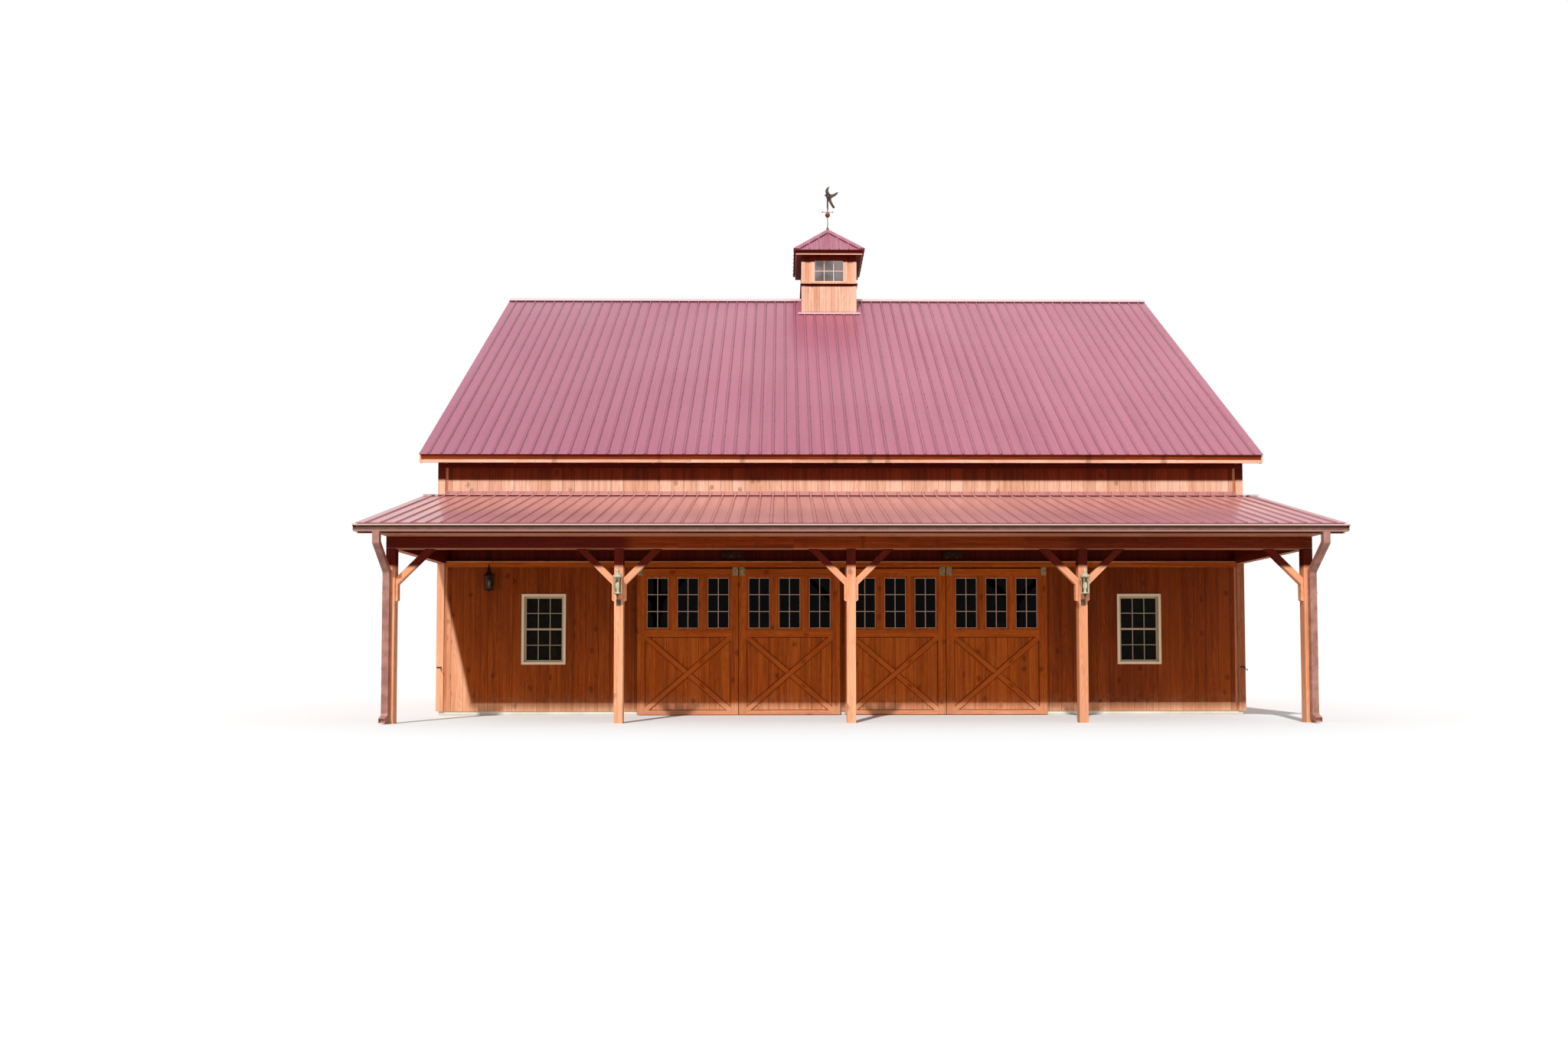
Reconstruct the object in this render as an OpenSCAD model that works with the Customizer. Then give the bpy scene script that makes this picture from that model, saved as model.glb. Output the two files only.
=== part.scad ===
/* [Building] */
// Length of the timber frame along the ridge
frame_l = 14630; // [12000:10:18000]
// Depth of the timber frame from front to back
frame_d = 10973; // [9000:1:13500]
// Thickness of a framed wall with its boards
wall_t = 160; // [120:1:220]
// Thickness of the wall boards outside the frame
siding_t = 20; // [12:1:30]
// Height of the concrete slab above the ground
foundation_h = 75; // [40:1:150]
// Thickness of corner boards and frieze boards
trim_t = 20; // [12:1:30]
// Width of a corner board
corner_board_w = 130; // [90:1:180]
// Height of the frieze board under the eave
frieze_h = 158; // [100:1:220]

/* [Main roof] */
// Height of the metal's lower edge above the ground
eave_edge_z = 4696; // [4300:1:5600]
// Pitch of the main roof in degrees
roof_pitch = 40.4; // [34:0.1:45]
// Length of the roofing along the ridge, past the wall boards on each side
rake_out = 265; // [150:1:400]
// From the wall boards to the outside of the eave board
eave_out = 280; // [200:1:400]
// Length of the metal past the eave board
metal_lip = 40; // [20:1:80]
// Thickness of the roofing sheet with its underlay
metal_t = 8; // [4:0.5:12]
// Thickness of the roof boards
deck_t = 22; // [16:1:30]
// Depth of a main rafter, square to the slope
rafter_h = 184; // [140:1:235]
// Width of a rafter
rafter_w = 38; // [30:1:60]
// Number of rafters on each slope
rafter_n = 24; // [16:1:30]
// Depth of the notch where a main rafter sits on the wall
birdsmouth = 33; // [15:1:60]
// Thickness of the ridge board
ridge_board_t = 50; // [40:1:80]
// Height of the ridge board
ridge_board_h = 260; // [200:1:320]
// Side of a tie beam
tie_side = 190; // [140:1:240]
// Height of an eave board
eave_board_h = 140; // [110:1:180]
// Thickness of eave boards and rake boards
edge_board_t = 25; // [18:1:35]
// Height of a rake board, square to the slope
rake_board_h = 165; // [120:1:220]

/* [Roof ribs] */
// Distance between two ribs of the roofing
rib_gap = 228.6; // [180:0.1:310]
// Height of a rib
rib_h = 19; // [12:1:30]
// Width of a rib at its foot
rib_foot = 44; // [34:1:60]
// Width of a rib at its top
rib_top = 16; // [8:1:26]
// Least flat width beside the last rib
rib_margin = 130; // [60:1:200]
// Width of one wing of the ridge cap
ridge_cap_w = 170; // [120:1:230]
// Thickness of folded flashings
flashing_t = 5; // [3:0.5:8]

/* [Porch] */
// From the wall boards to the front of the porch posts
porch_d = 2460; // [1900:1:3000]
// Side of a square porch post
post_side = 140; // [110:1:190]
// From the middle post to the next one
bay_w = 3658; // [3100:1:4200]
// From the outside of the wall boards to the middle of a corner post
corner_post_in = 100; // [75:1:250]
// Height of the porch metal's lower edge above the ground
porch_edge_z = 3091; // [2900:1:3250]
// Pitch of the porch roof in degrees
porch_pitch = 17.4; // [12:0.1:19]
// From the posts' front to the outside of the porch eave board
porch_eave_out = 400; // [300:1:550]
// Length of the porch metal past its eave board
porch_lip = 60; // [30:1:90]
// Height of the porch beam
beam_h = 277; // [235:1:320]
// Width of the slanted edge under the front of the porch beam
beam_chamfer = 12; // [4:1:20]
// Depth of a porch rafter, square to the slope
porch_rafter_h = 184; // [160:1:210]
// Number of porch rafters
porch_rafter_n = 25; // [13:1:29]
// Depth of the notch where a porch rafter sits on the beam
porch_notch = 10; // [5:1:20]
// Height of the porch eave board
porch_eave_board_h = 142; // [120:1:160]
// Height of a porch rake board, square to the slope
porch_rake_h = 160; // [120:1:190]
// Thickness of the porch soffit boards
soffit_t = 15; // [10:1:20]
// Height of the ledger on the wall
ledger_h = 200; // [150:1:240]
// Thickness of the ledger on the wall
ledger_t = 40; // [30:1:60]

/* [Knee braces] */
// Reach of a brace along the beam, from the post's face
brace_leg = 600; // [450:1:750]
// Width of a brace, seen from the front
brace_w = 98; // [80:1:120]
// Thickness of a brace, front to back
brace_t = 90; // [70:1:110]
// How far the pad under a brace stands out from the post
pad_out = 40; // [25:1:60]
// Height of the pad under a brace
pad_h = 225; // [160:1:300]

/* [Gutter and downspouts] */
// Depth of the gutter, front to back
gutter_d = 120; // [100:1:140]
// Height of the gutter
gutter_h = 108; // [90:1:120]
// Wall of the gutter
gutter_wall = 4; // [3:0.5:6]
// How far the gutter runs past the porch roofing at each end
gutter_over = 20; // [5:1:40]
// Gap between the roof boards and the top of the gutter
gutter_drop = 12; // [6:1:20]
// Width of a downspout
spout_w = 105; // [75:1:120]
// Depth of a downspout
spout_d = 78; // [50:1:90]
// From the middle of a corner post outwards to the middle of its downspout
spout_shift = 38; // [0:1:60]
// Radius inside an elbow of a downspout
elbow_r = 60; // [30:1:90]
// Reach of the shoe at the foot of a downspout
shoe_reach = 170; // [100:1:240]

/* [Doors] */
// Width of one sliding leaf
leaf_w = 1829; // [1500:1:2200]
// Height of the top of a leaf above the ground
leaf_top = 2652; // [2400:1:2680]
// Gap between a leaf and the ground
leaf_foot = 12; // [8:1:30]
// Gap between the two leaves of one doorway
leaf_gap = 12; // [8:1:25]
// Gap between the two inner leaves at the middle of the wall
middle_gap = 90; // [60:1:140]
// Gap between the wall boards and the back of a leaf
leaf_off = 38; // [34:1:60]
// Thickness of a leaf's board panel
leaf_panel_t = 20; // [15:1:30]
// Thickness of a leaf's stiles, rails and braces
leaf_frame_t = 25; // [18:1:35]
// Width of a leaf's stiles
stile_w = 140; // [110:1:170]
// Width of the mullions between a leaf's sashes
mullion_w = 100; // [70:1:130]
// Width of the sash round each light of a leaf
leaf_sash_w = 30; // [22:1:40]
// How far a leaf's sashes lie behind its stiles
leaf_sash_back = 10; // [6:1:14]
// Height of a leaf's top rail
top_rail_h = 131; // [110:1:160]
// Height of the light openings in a leaf
leaf_light_h = 916; // [700:1:1000]
// Height of the rail under the lights
mid_rail_h = 129; // [100:1:170]
// Height of the bottom rail
bottom_rail_h = 78; // [60:1:150]
// Width of the crossed braces
cross_w = 85; // [60:1:120]
// How far a leaf laps over the side of its doorway
leaf_lap = 110; // [70:1:150]
// How far a leaf laps over the head of its doorway
head_lap = 90; // [60:1:120]
// Width of a hanger strap
strap_w = 95; // [60:1:120]
// Length of a strap below the top of its leaf
strap_drop = 120; // [90:1:150]
// Thickness of a hanger strap
strap_t = 5; // [4:0.5:8]
// Radius of a hanger wheel
wheel_r = 24; // [18:1:28]
// Width of a hanger wheel
wheel_w = 20; // [16:1:26]
// Depth of the groove in a hanger wheel
groove = 4; // [3:0.5:6]
// Radius of a hanger wheel's axle
axle_r = 7; // [5:0.5:9]

/* [Door track] */
// Height of the lower edge of the track cover above a leaf's top
cover_gap = 27; // [15:1:40]
// Height of the track cover
cover_h = 109; // [100:1:160]
// Thickness of the cover boards
cover_t = 20; // [12:1:25]
// Space between a strap and the cover's front board
cover_clear = 9; // [6:1:20]
// Thickness of the rail
rail_t = 10; // [8:1:12]
// Height of the rail
rail_h = 36; // [28:1:44]
// Number of blocks that hold the rail off the wall
rail_block_n = 10; // [6:1:16]

/* [Windows] */
// Width of the glass that shows in a wall window
light_w = 640; // [500:1:800]
// Height of the glass that shows in a wall window
light_h = 1120; // [900:1:1300]
// Height of a wall window's middle above the ground
window_z = 1560; // [1400:1:1700]
// From the middle of the wall to a front window
window_x = 5420; // [5250:1:5600]
// Width of the sash round the glass
sash_w = 35; // [28:1:50]
// Thickness of a sash
sash_t = 34; // [26:1:40]
// Thickness of the jamb round a sash
jamb_t = 20; // [14:1:30]
// Width of the casing that shows round a sash
casing_w = 45; // [35:1:60]
// How far the casing stands out from the wall boards
casing_t = 20; // [12:1:26]
// How far the sill stands out from the wall boards
sill_out = 28; // [20:1:30]
// Thickness of the glass
glass_t = 6; // [4:0.5:8]

/* [Cupola] */
// Side of the square cupola, over its wall boards
cupola_w = 1256; // [1100:1:1550]
// Wall of the cupola
cupola_wall = 50; // [35:1:80]
// Height of the cupola's soffit above the ridge line of the roofing
cupola_h = 790; // [700:1:950]
// Width of a corner board on the cupola
cupola_corner_w = 88; // [60:1:110]
// Thickness of the cupola's corner boards and of the casings round its lights
cupola_trim_t = 15; // [10:1:20]
// Side of the cupola roof
cupola_roof_w = 1650; // [1500:1:1850]
// Length of the cupola's roofing past its eave boards, seen from above
cupola_lip = 51; // [30:1:70]
// From the cupola's soffit up to the lower edge of its roofing
cupola_edge_h = 97; // [90:1:150]
// Rise of the cupola's roofing from its lower edge to its peak
cupola_rise = 813; // [650:1:950]
// Width of one wing of a hip cap
hip_cap_w = 112; // [80:1:140]
// Width of a light in the cupola
cupola_light_w = 660; // [450:1:750]
// Height of a light in the cupola
cupola_light_h = 494; // [330:1:510]
// From the cupola's soffit down to the top of a light
cupola_light_drop = 80; // [60:1:110]
// Width of the frame round a light, inside the wall
cupola_frame_w = 36; // [28:1:50]
// Width of the casing beside a light
cupola_casing_w = 97; // [60:1:100]
// Height of the belt round the cupola
belt_h = 44; // [40:1:70]
// How far the belt stands out
belt_out = 40; // [12:1:50]
// Gap between a light's frame and the belt under it
belt_gap = 2; // [1:1:30]
// Width of the flashing round the cupola's foot
apron_w = 80; // [50:1:120]

/* [Weathervane] */
// Height of the rod above the cupola's peak
rod_h = 860; // [600:1:1000]
// Radius of the rod
rod_r = 11; // [8:0.5:14]
// Height of the ball above the cupola's peak
ball_up = 375; // [250:1:400]
// Radius of the ball
ball_r = 60; // [45:1:75]
// Height of the crossed arms above the cupola's peak
arms_up = 447; // [420:1:500]
// Reach of one crossed arm
arm_reach = 125; // [110:1:200]
// Height of the vane's sleeve above the cupola's peak
vane_up = 545; // [540:1:640]
// Running clearance between the rod and the vane's sleeve
vane_clear = 0.1; // [0.05:0.01:0.1]

/* [Lanterns] */
// Height of the middle of a post lantern above the ground
post_lantern_z = 2157; // [2100:1:2300]
// Radius of a post lantern's base
lantern_r = 70; // [55:1:85]
// Height of a lantern's glass
lantern_glass_h = 234; // [150:1:240]
// From the middle of the wall to the wall lantern
wall_lantern_x = 6385; // [6200:1:6600]
// Height of the middle of the wall lantern above the ground
wall_lantern_z = 2395; // [2250:1:2460]
// Height of the lower edge of the lamps over the doors
door_lamp_z = 2838; // [2820:1:2900]
// From the middle of the wall to the middle of a lamp over the doors
door_lamp_x = 2000; // [1500:1:2500]
// Width of a lamp over the doors
door_lamp_w = 350; // [250:1:420]

/* [Hidden] */

// Joint left between two pieces that lie on each other along a slope
seat = 0.1;

// Outsides of the wall boards, from the building's middle
half_l = frame_l / 2 + siding_t;
half_d = frame_d / 2 + siding_t;
in_l = half_l - wall_t;
in_d = half_d - wall_t;

// Main roof: distances from the ridge line outwards, heights above the ground
edge_out = half_d + eave_out + metal_lip;
eave_in = half_d + eave_out - edge_board_t;
roof_half_l = half_l + rake_out;
deck_half_l = roof_half_l - edge_board_t;
main_tan = tan(roof_pitch);
main_cos = cos(roof_pitch);
function main_pan(out) = eave_edge_z + (edge_out - out) * main_tan;
function main_deck_top(out) = main_pan(out) - (metal_t + seat) / main_cos;
function main_deck(out) = main_deck_top(out) - deck_t / main_cos;
function main_rafter(out) = main_deck(out) - rafter_h / main_cos;
function main_rafter_at(z) = (main_rafter(0) - z) / main_tan;
plate_z = main_rafter(half_d) + birdsmouth;
eave_board_z = main_deck(half_d + eave_out) - eave_board_h;
ridge_z = main_pan(0);
frieze_top = main_rafter(half_d + trim_t) - 5;

// Porch roof, in the same way
post_face = half_d + porch_d;
porch_edge = post_face + porch_eave_out + porch_lip;
porch_eave_face = post_face + porch_eave_out;
porch_eave_in = porch_eave_face - edge_board_t;
porch_tan = tan(porch_pitch);
porch_cos = cos(porch_pitch);
function porch_pan(out) = porch_edge_z + (porch_edge - out) * porch_tan;
function porch_deck_top(out) = porch_pan(out) - (metal_t + seat) / porch_cos;
function porch_deck(out) = porch_deck_top(out) - deck_t / porch_cos;
function porch_rafter(out) = porch_deck(out) - porch_rafter_h / porch_cos;
function porch_rafter_at(z) = (porch_rafter(0) - z) / porch_tan;
beam_top = porch_rafter(post_face) + porch_notch;
beam_z = beam_top - beam_h;
porch_board_z = porch_deck(porch_eave_face) - porch_eave_board_h;
porch_tail_z = porch_board_z + soffit_t;
porch_in = half_d + trim_t + 6;
corner_post_x = half_l - corner_post_in;
post_xs = [-corner_post_x, -bay_w, 0, bay_w, corner_post_x];
spout_x = corner_post_x + spout_shift;
gutter_top = porch_deck(porch_eave_face) - gutter_drop;
gutter_z = gutter_top - gutter_h;

// The building's middle is moved so that the origin is under the middle of its outer box
front_reach = porch_eave_face + gutter_d;
back_reach = edge_out + rib_h * sin(roof_pitch);
site_shift = (front_reach - back_reach) / 2;

// Ribbed sheets
rib_n = floor((2 * roof_half_l - 2 * rib_margin) / rib_gap) + 1;
ridge_open = 30;

// Doorways and leaves
outer_leaf_x = middle_gap / 2 + leaf_w + leaf_gap;
inner_leaf_x = middle_gap / 2;
doorway_out = outer_leaf_x + leaf_w - leaf_lap;
doorway_in = middle_gap / 2 + leaf_lap - 15;
doorway_top = leaf_top - head_lap;
leaf_t = leaf_panel_t + leaf_frame_t;
light_z = leaf_top - top_rail_h - leaf_sash_w - leaf_light_h;
mid_rail_top = light_z - leaf_sash_w;
mid_rail_z = mid_rail_top - mid_rail_h;
cross_z = leaf_foot + bottom_rail_h;
leaf_sash_out = (leaf_w - 2 * stile_w - 2 * mullion_w) / 3;
leaf_light_w = leaf_sash_out - 2 * leaf_sash_w;
leaf_glass_y = leaf_off + leaf_panel_t / 2;

// Track, hangers and cover
cover_z = leaf_top + cover_gap;
cover_front = leaf_off + leaf_t + strap_t + cover_clear;
cover_reach = min(half_l + trim_t - corner_board_w, corner_post_x - post_side / 2) - 3;
track_y = leaf_off + leaf_t / 2;
rail_z = cover_z + 3;
rail_top = rail_z + rail_h;
wheel_z = rail_top + wheel_r - groove + 0.3;
strap_x = strap_w / 2 + 8;

// Windows
sash_out_w = light_w + 2 * sash_w;
sash_out_h = light_h + 2 * sash_w;
hole_w = sash_out_w + 2 * jamb_t;
hole_h = sash_out_h + 2 * jamb_t;
sash_y = 25;
back_window_xs = [-window_x, -bay_w / 2, bay_w / 2, window_x];
side_window_y = half_d / 2;

// Cupola
cupola_top = round(ridge_z + cupola_h);
cupola_edge_z = cupola_top + cupola_edge_h;
cupola_out = cupola_w / 2 + cupola_trim_t;
peak_z = cupola_edge_z + cupola_rise;
cupola_light_z = cupola_top - cupola_light_drop - cupola_light_h / 2;
belt_z = cupola_light_z - cupola_light_h / 2 - cupola_frame_w - belt_gap - belt_h;

// Cupola roof: distances from its middle outwards, in the same way
cupola_half = cupola_roof_w / 2;
cupola_tan = cupola_rise / cupola_half;
cupola_cos = cos(atan(cupola_tan));
cupola_face = cupola_half - cupola_lip;
cupola_rib_n = floor((cupola_roof_w - 2 * rib_margin) / rib_gap) + 1;
function cupola_pan(out) = cupola_edge_z + (cupola_half - out) * cupola_tan;
function cupola_deck_top(out) = cupola_pan(out) - (metal_t + seat) / cupola_cos;
function cupola_deck(out) = cupola_deck_top(out) - deck_t / cupola_cos;
cap_foot = (rib_h + 0.5) / cupola_cos;
cap_top = cap_foot + flashing_t / cupola_cos;

// Moves a piece from the building's middle to its place over the origin
module on_site() {
  translate([0, site_shift, 0]) children();
}

// Turns a piece made for the back of the building to its front
module to_front() {
  mirror([0, 1, 0]) children();
}

// Draws a (distance from the middle, height) outline along the building from x0 to x1
module along(x0, x1) {
  translate([x0, 0, 0]) rotate([90, 0, 90]) linear_extrude(x1 - x0) children();
}

// A block between two corners
module block(low, high) {
  translate(low) cube(high - low);
}

// Puts a piece made for the back wall on each of the four sides of a square house
module on_four_sides() {
  for (turn = [0, 90, 180, 270]) rotate([0, 0, turn]) children();
}

// A ring of the given inner and outer width and height, thick from y0 to y1
module ring(w, h, edge, y0, y1) {
  translate([0, y1, 0]) rotate([90, 0, 0]) linear_extrude(y1 - y0)
    difference() {
      square([w + 2 * edge, h + 2 * edge], center = true);
      square([w, h], center = true);
    }
}

// Foundation

module foundation() {
  color([0.78, 0.76, 0.72]) on_site()
    block([-frame_l / 2, -frame_d / 2, 0], [frame_l / 2, frame_d / 2, foundation_h]);
}

// Walls

wall_color = [0.55, 0.22, 0.11];

// Cuts a window's hole through a wall whose boards face away from +Y at y = 0
module window_hole() {
  translate([0, 0, window_z])
    cube([hole_w, 4 * wall_t, hole_h], center = true);
}

module front_side_wall(side) {
  difference() {
    block([min(side * doorway_out, side * in_l), -half_d, foundation_h],
          [max(side * doorway_out, side * in_l), -in_d, doorway_top]);
    translate([side * window_x, -half_d, 0]) window_hole();
  }
}

module front_wall_left() {
  color(wall_color) on_site() front_side_wall(-1);
}

module front_wall_right() {
  color(wall_color) on_site() front_side_wall(1);
}

module front_wall_middle() {
  color(wall_color) on_site()
    block([-doorway_in, -half_d, foundation_h], [doorway_in, -in_d, doorway_top]);
}

module front_wall_upper() {
  color(wall_color) on_site()
    block([-in_l, -half_d, doorway_top], [in_l, -in_d, plate_z]);
}

module back_wall() {
  color(wall_color) on_site() difference() {
    block([-in_l, in_d, foundation_h], [in_l, half_d, plate_z]);
    for (x = back_window_xs) translate([x, half_d, 0]) window_hole();
  }
}

module gable_wall(side) {
  difference() {
    along(min(side * in_l, side * half_l), max(side * in_l, side * half_l))
      polygon([
        [-half_d, foundation_h],
        [half_d, foundation_h],
        [half_d, main_deck(half_d) - seat],
        [0, main_deck(0) - seat],
        [-half_d, main_deck(half_d) - seat]
      ]);
    for (y = [-side_window_y, side_window_y])
      translate([side * half_l, y, 0]) rotate([0, 0, 90]) window_hole();
  }
}

module left_gable_wall() {
  color(wall_color) on_site() gable_wall(-1);
}

module right_gable_wall() {
  color(wall_color) on_site() gable_wall(1);
}

// One L-shaped corner board at the corner of the given signs
module corner_board(sx, sy) {
  translate([sx * half_l, sy * half_d, foundation_h])
    mirror([sx < 0 ? 1 : 0, 0, 0]) mirror([0, sy < 0 ? 1 : 0, 0])
      linear_extrude(frieze_top - foundation_h)
        polygon([
          [-corner_board_w + trim_t, 0],
          [0, 0],
          [0, -corner_board_w + trim_t],
          [trim_t, -corner_board_w + trim_t],
          [trim_t, trim_t],
          [-corner_board_w + trim_t, trim_t]
        ]);
}

// A corner board of the cupola, at the corner towards +X and +Y
module cupola_corner_board() {
  half = cupola_w / 2;
  inner = cupola_out - cupola_corner_w;
  difference() {
    for (z = [[ridge_z - cupola_w, belt_z], [belt_z + belt_h, cupola_top]])
      translate([0, 0, z[0]]) linear_extrude(z[1] - z[0])
        polygon([
          [inner, half], [half, half], [half, inner], [cupola_out, inner], [cupola_out, cupola_out], [inner, cupola_out]
        ]);
    under_ribs();
  }
}

module wall_trim() {
  reach = half_l + trim_t - corner_board_w;
  color([0.62, 0.27, 0.13]) on_site() {
    for (x = [0, 1], y = [0, 1]) mirror([x, 0, 0]) mirror([0, y, 0]) cupola_corner_board();
    for (sx = [-1, 1], sy = [-1, 1]) corner_board(sx, sy);
    for (turn = [0, 180]) rotate([0, 0, turn])
      block([-reach, half_d, frieze_top - frieze_h], [reach, half_d + trim_t, frieze_top]);
  }
}

// Windows, made facing +Y with the wall boards' face at y = 0

module window_frame() {
  translate([0, 0, window_z]) {
    ring(sash_out_w, sash_out_h, casing_w, 0, casing_t);
    ring(sash_out_w, sash_out_h, jamb_t, -wall_t, 0);
    ring(light_w, light_h, sash_w, -sash_y - sash_t, -sash_y);
    block([-sash_out_w / 2, -sash_y - sash_t, -sash_w / 2],
          [sash_out_w / 2, -sash_y, sash_w / 2]);
    block([-hole_w / 2 - 12, 0, -sash_out_h / 2 - 26], [hole_w / 2 + 12, sill_out, -sash_out_h / 2]);
  }
}

module window_pane() {
  translate([0, -sash_y - sash_t / 2, window_z])
    for (side = [-1, 1])
      translate([0, 0, side * (light_h / 4 + sash_w / 4)])
        cube([light_w, glass_t, light_h / 2 - sash_w / 2], center = true);
}

module at_front_windows() {
  for (side = [-1, 1]) translate([side * window_x, -half_d, 0]) rotate([0, 0, 180]) children();
}

module at_back_windows() {
  for (x = back_window_xs) translate([x, half_d, 0]) children();
}

module at_side_windows() {
  for (side = [-1, 1], y = [-side_window_y, side_window_y])
    translate([side * half_l, y, 0]) rotate([0, 0, -90 * side]) children();
}

frame_color = [0.90, 0.86, 0.76];

module front_windows() {
  color(frame_color) on_site() at_front_windows() window_frame();
}

module back_windows() {
  color(frame_color) on_site() at_back_windows() window_frame();
}

module side_windows() {
  color(frame_color) on_site() at_side_windows() window_frame();
}

// Main roof, made for the back slope and turned for the front

timber_color = [0.70, 0.48, 0.28];

// Outline of a rafter between the ridge board and the eave board
module main_rafter_outline() {
  seat_in = main_rafter_at(plate_z);
  tail_out = main_rafter_at(eave_board_z);
  top_in = ridge_board_t / 2;
  polygon([
    [top_in, main_deck(top_in)],
    [eave_in, main_deck(eave_in)],
    [eave_in, eave_board_z],
    [tail_out, eave_board_z],
    [half_d, main_rafter(half_d)],
    [half_d, plate_z],
    [seat_in, plate_z],
    [top_in, main_rafter(top_in)]
  ]);
}

module main_roof_frame() {
  step = (2 * in_l - rafter_w) / (rafter_n - 1);
  for (i = [0 : rafter_n - 1])
    along(-in_l + i * step, -in_l + i * step + rafter_w) main_rafter_outline();
  along(-in_l, in_l)
    polygon([
      [half_d - rafter_w, plate_z],
      [half_d, plate_z],
      [half_d, main_deck(half_d)],
      [half_d - rafter_w, main_deck(half_d - rafter_w)]
    ]);
  along(-deck_half_l, deck_half_l)
    polygon([
      [0, main_deck(0)],
      [half_d + eave_out, main_deck(half_d + eave_out)],
      [half_d + eave_out, main_deck_top(half_d + eave_out)],
      [0, main_deck_top(0)]
    ]);
}

module back_roof_frame() {
  color(timber_color) on_site() main_roof_frame();
}

module front_roof_frame() {
  color(timber_color) on_site() to_front() main_roof_frame();
}

module roof_beams() {
  board_top = main_deck(ridge_board_t / 2);
  color(timber_color) on_site() {
    block([-in_l, -ridge_board_t / 2, board_top - ridge_board_h],
          [in_l, ridge_board_t / 2, board_top]);
    for (x = [-bay_w, 0, bay_w])
      block([x - tie_side / 2, -in_d, plate_z - 2 * tie_side], [x + tie_side / 2, in_d, plate_z - tie_side]);
    on_four_sides() cupola_sector()
      polygon([
        [0, cupola_deck(0)],
        [cupola_face, cupola_deck(cupola_face)],
        [cupola_face, cupola_deck_top(cupola_face)],
        [0, cupola_deck_top(0)]
      ]);
  }
}

// One side's share of the cupola roof: an outline drawn as with along(), cut along the two hips towards +Y
module cupola_sector() {
  reach = cupola_half + 100;
  intersection() {
    along(-reach, reach) children();
    translate([0, 0, cupola_top - 100]) linear_extrude(cupola_rise + cupola_edge_h + 300)
      polygon([[0, seat], [reach - seat, reach], [seat - reach, reach]]);
  }
}

roofing_color = [0.48, 0.17, 0.24];

// A sheet with ribs: its lower edge lies along X at the origin, and it rises towards +Y at the pitch
module ribbed_sheet(pitch, slope_l, half_w, ribs) {
  rib_points = [
    for (i = [0 : ribs - 1])
      for (p = [[-rib_foot / 2, 0], [-rib_top / 2, rib_h], [rib_top / 2, rib_h], [rib_foot / 2, 0]])
        [(i - (ribs - 1) / 2) * rib_gap + p[0], -p[1]]
  ];
  rotate([pitch - 90, 0, 0]) linear_extrude(slope_l)
    polygon(concat([[-half_w, metal_t], [-half_w, 0]], rib_points, [[half_w, 0], [half_w, metal_t]]));
}

module main_roof_metal() {
  translate([0, -edge_out, eave_edge_z])
    ribbed_sheet(roof_pitch, edge_out / main_cos - ridge_open, roof_half_l, rib_n);
}

module front_roof_metal() {
  color(roofing_color) on_site() main_roof_metal();
}

module back_roof_metal() {
  color(roofing_color) on_site() to_front() main_roof_metal();
}

module eave_boards() {
  rafter_reach = corner_post_x + post_side / 2;
  cupola_in = cupola_face - edge_board_t;
  color([0.66, 0.32, 0.17]) on_site() {
    for (turn = [0, 180]) rotate([0, 0, turn])
      along(-deck_half_l, deck_half_l)
        polygon([
          [eave_in + seat, eave_board_z],
          [half_d + eave_out, eave_board_z],
          [half_d + eave_out, main_deck(half_d + eave_out) - seat],
          [eave_in + seat, main_deck(eave_in) - seat]
        ]);
    to_front() {
      along(-deck_half_l, deck_half_l)
        polygon([
          [porch_eave_in + seat, porch_board_z],
          [porch_eave_face, porch_board_z],
          [porch_eave_face, porch_deck(porch_eave_face) - seat],
          [porch_eave_in + seat, porch_deck(porch_eave_in) - seat]
        ]);
      block([-rafter_reach, post_face, porch_board_z], [rafter_reach, porch_eave_in + seat, porch_tail_z - seat]);
    }
    on_four_sides() cupola_sector()
      polygon([
        [cupola_in + seat, cupola_top],
        [cupola_face, cupola_top],
        [cupola_face, cupola_deck(cupola_face) - seat],
        [cupola_in + seat, cupola_deck(cupola_in) - seat]
      ]);
    block([-cupola_in, -cupola_in, cupola_top], [cupola_in, cupola_in, cupola_top + soffit_t]);
  }
}

// A rake board under the edge of the roofing, on the back slope
module rake_board(x0) {
  drop = rake_board_h / main_cos;
  low_out = half_d + eave_out;
  along(x0, x0 + edge_board_t)
    polygon([
      [0, main_deck_top(0)],
      [low_out, main_deck_top(low_out)],
      [low_out, max(eave_board_z, main_deck_top(low_out) - drop)],
      [(main_deck_top(0) - drop - max(eave_board_z, main_deck_top(low_out) - drop)) / main_tan,
        max(eave_board_z, main_deck_top(low_out) - drop)],
      [0, main_deck_top(0) - drop]
    ]);
}

// A rake board under the end of the porch roofing
module porch_rake_board(x0) {
  drop = porch_rake_h / porch_cos;
  low = max(porch_board_z, porch_deck_top(porch_eave_face) - drop);
  along(x0, x0 + edge_board_t)
    polygon([
      [porch_in, porch_deck_top(porch_in)],
      [porch_eave_face, porch_deck_top(porch_eave_face)],
      [porch_eave_face, low],
      [porch_eave_face - (drop - porch_deck_top(porch_eave_face) + low) / porch_tan, low],
      [porch_in, porch_deck_top(porch_in) - drop]
    ]);
}

// The boards that close the porch's end between its side beam and its outer rafter
module porch_end_board(x0) {
  along(x0, x0 + siding_t)
    polygon([
      [porch_in, beam_top],
      [porch_rafter_at(beam_top + seat), beam_top],
      [porch_in, porch_rafter(porch_in) - seat]
    ]);
}

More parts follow.
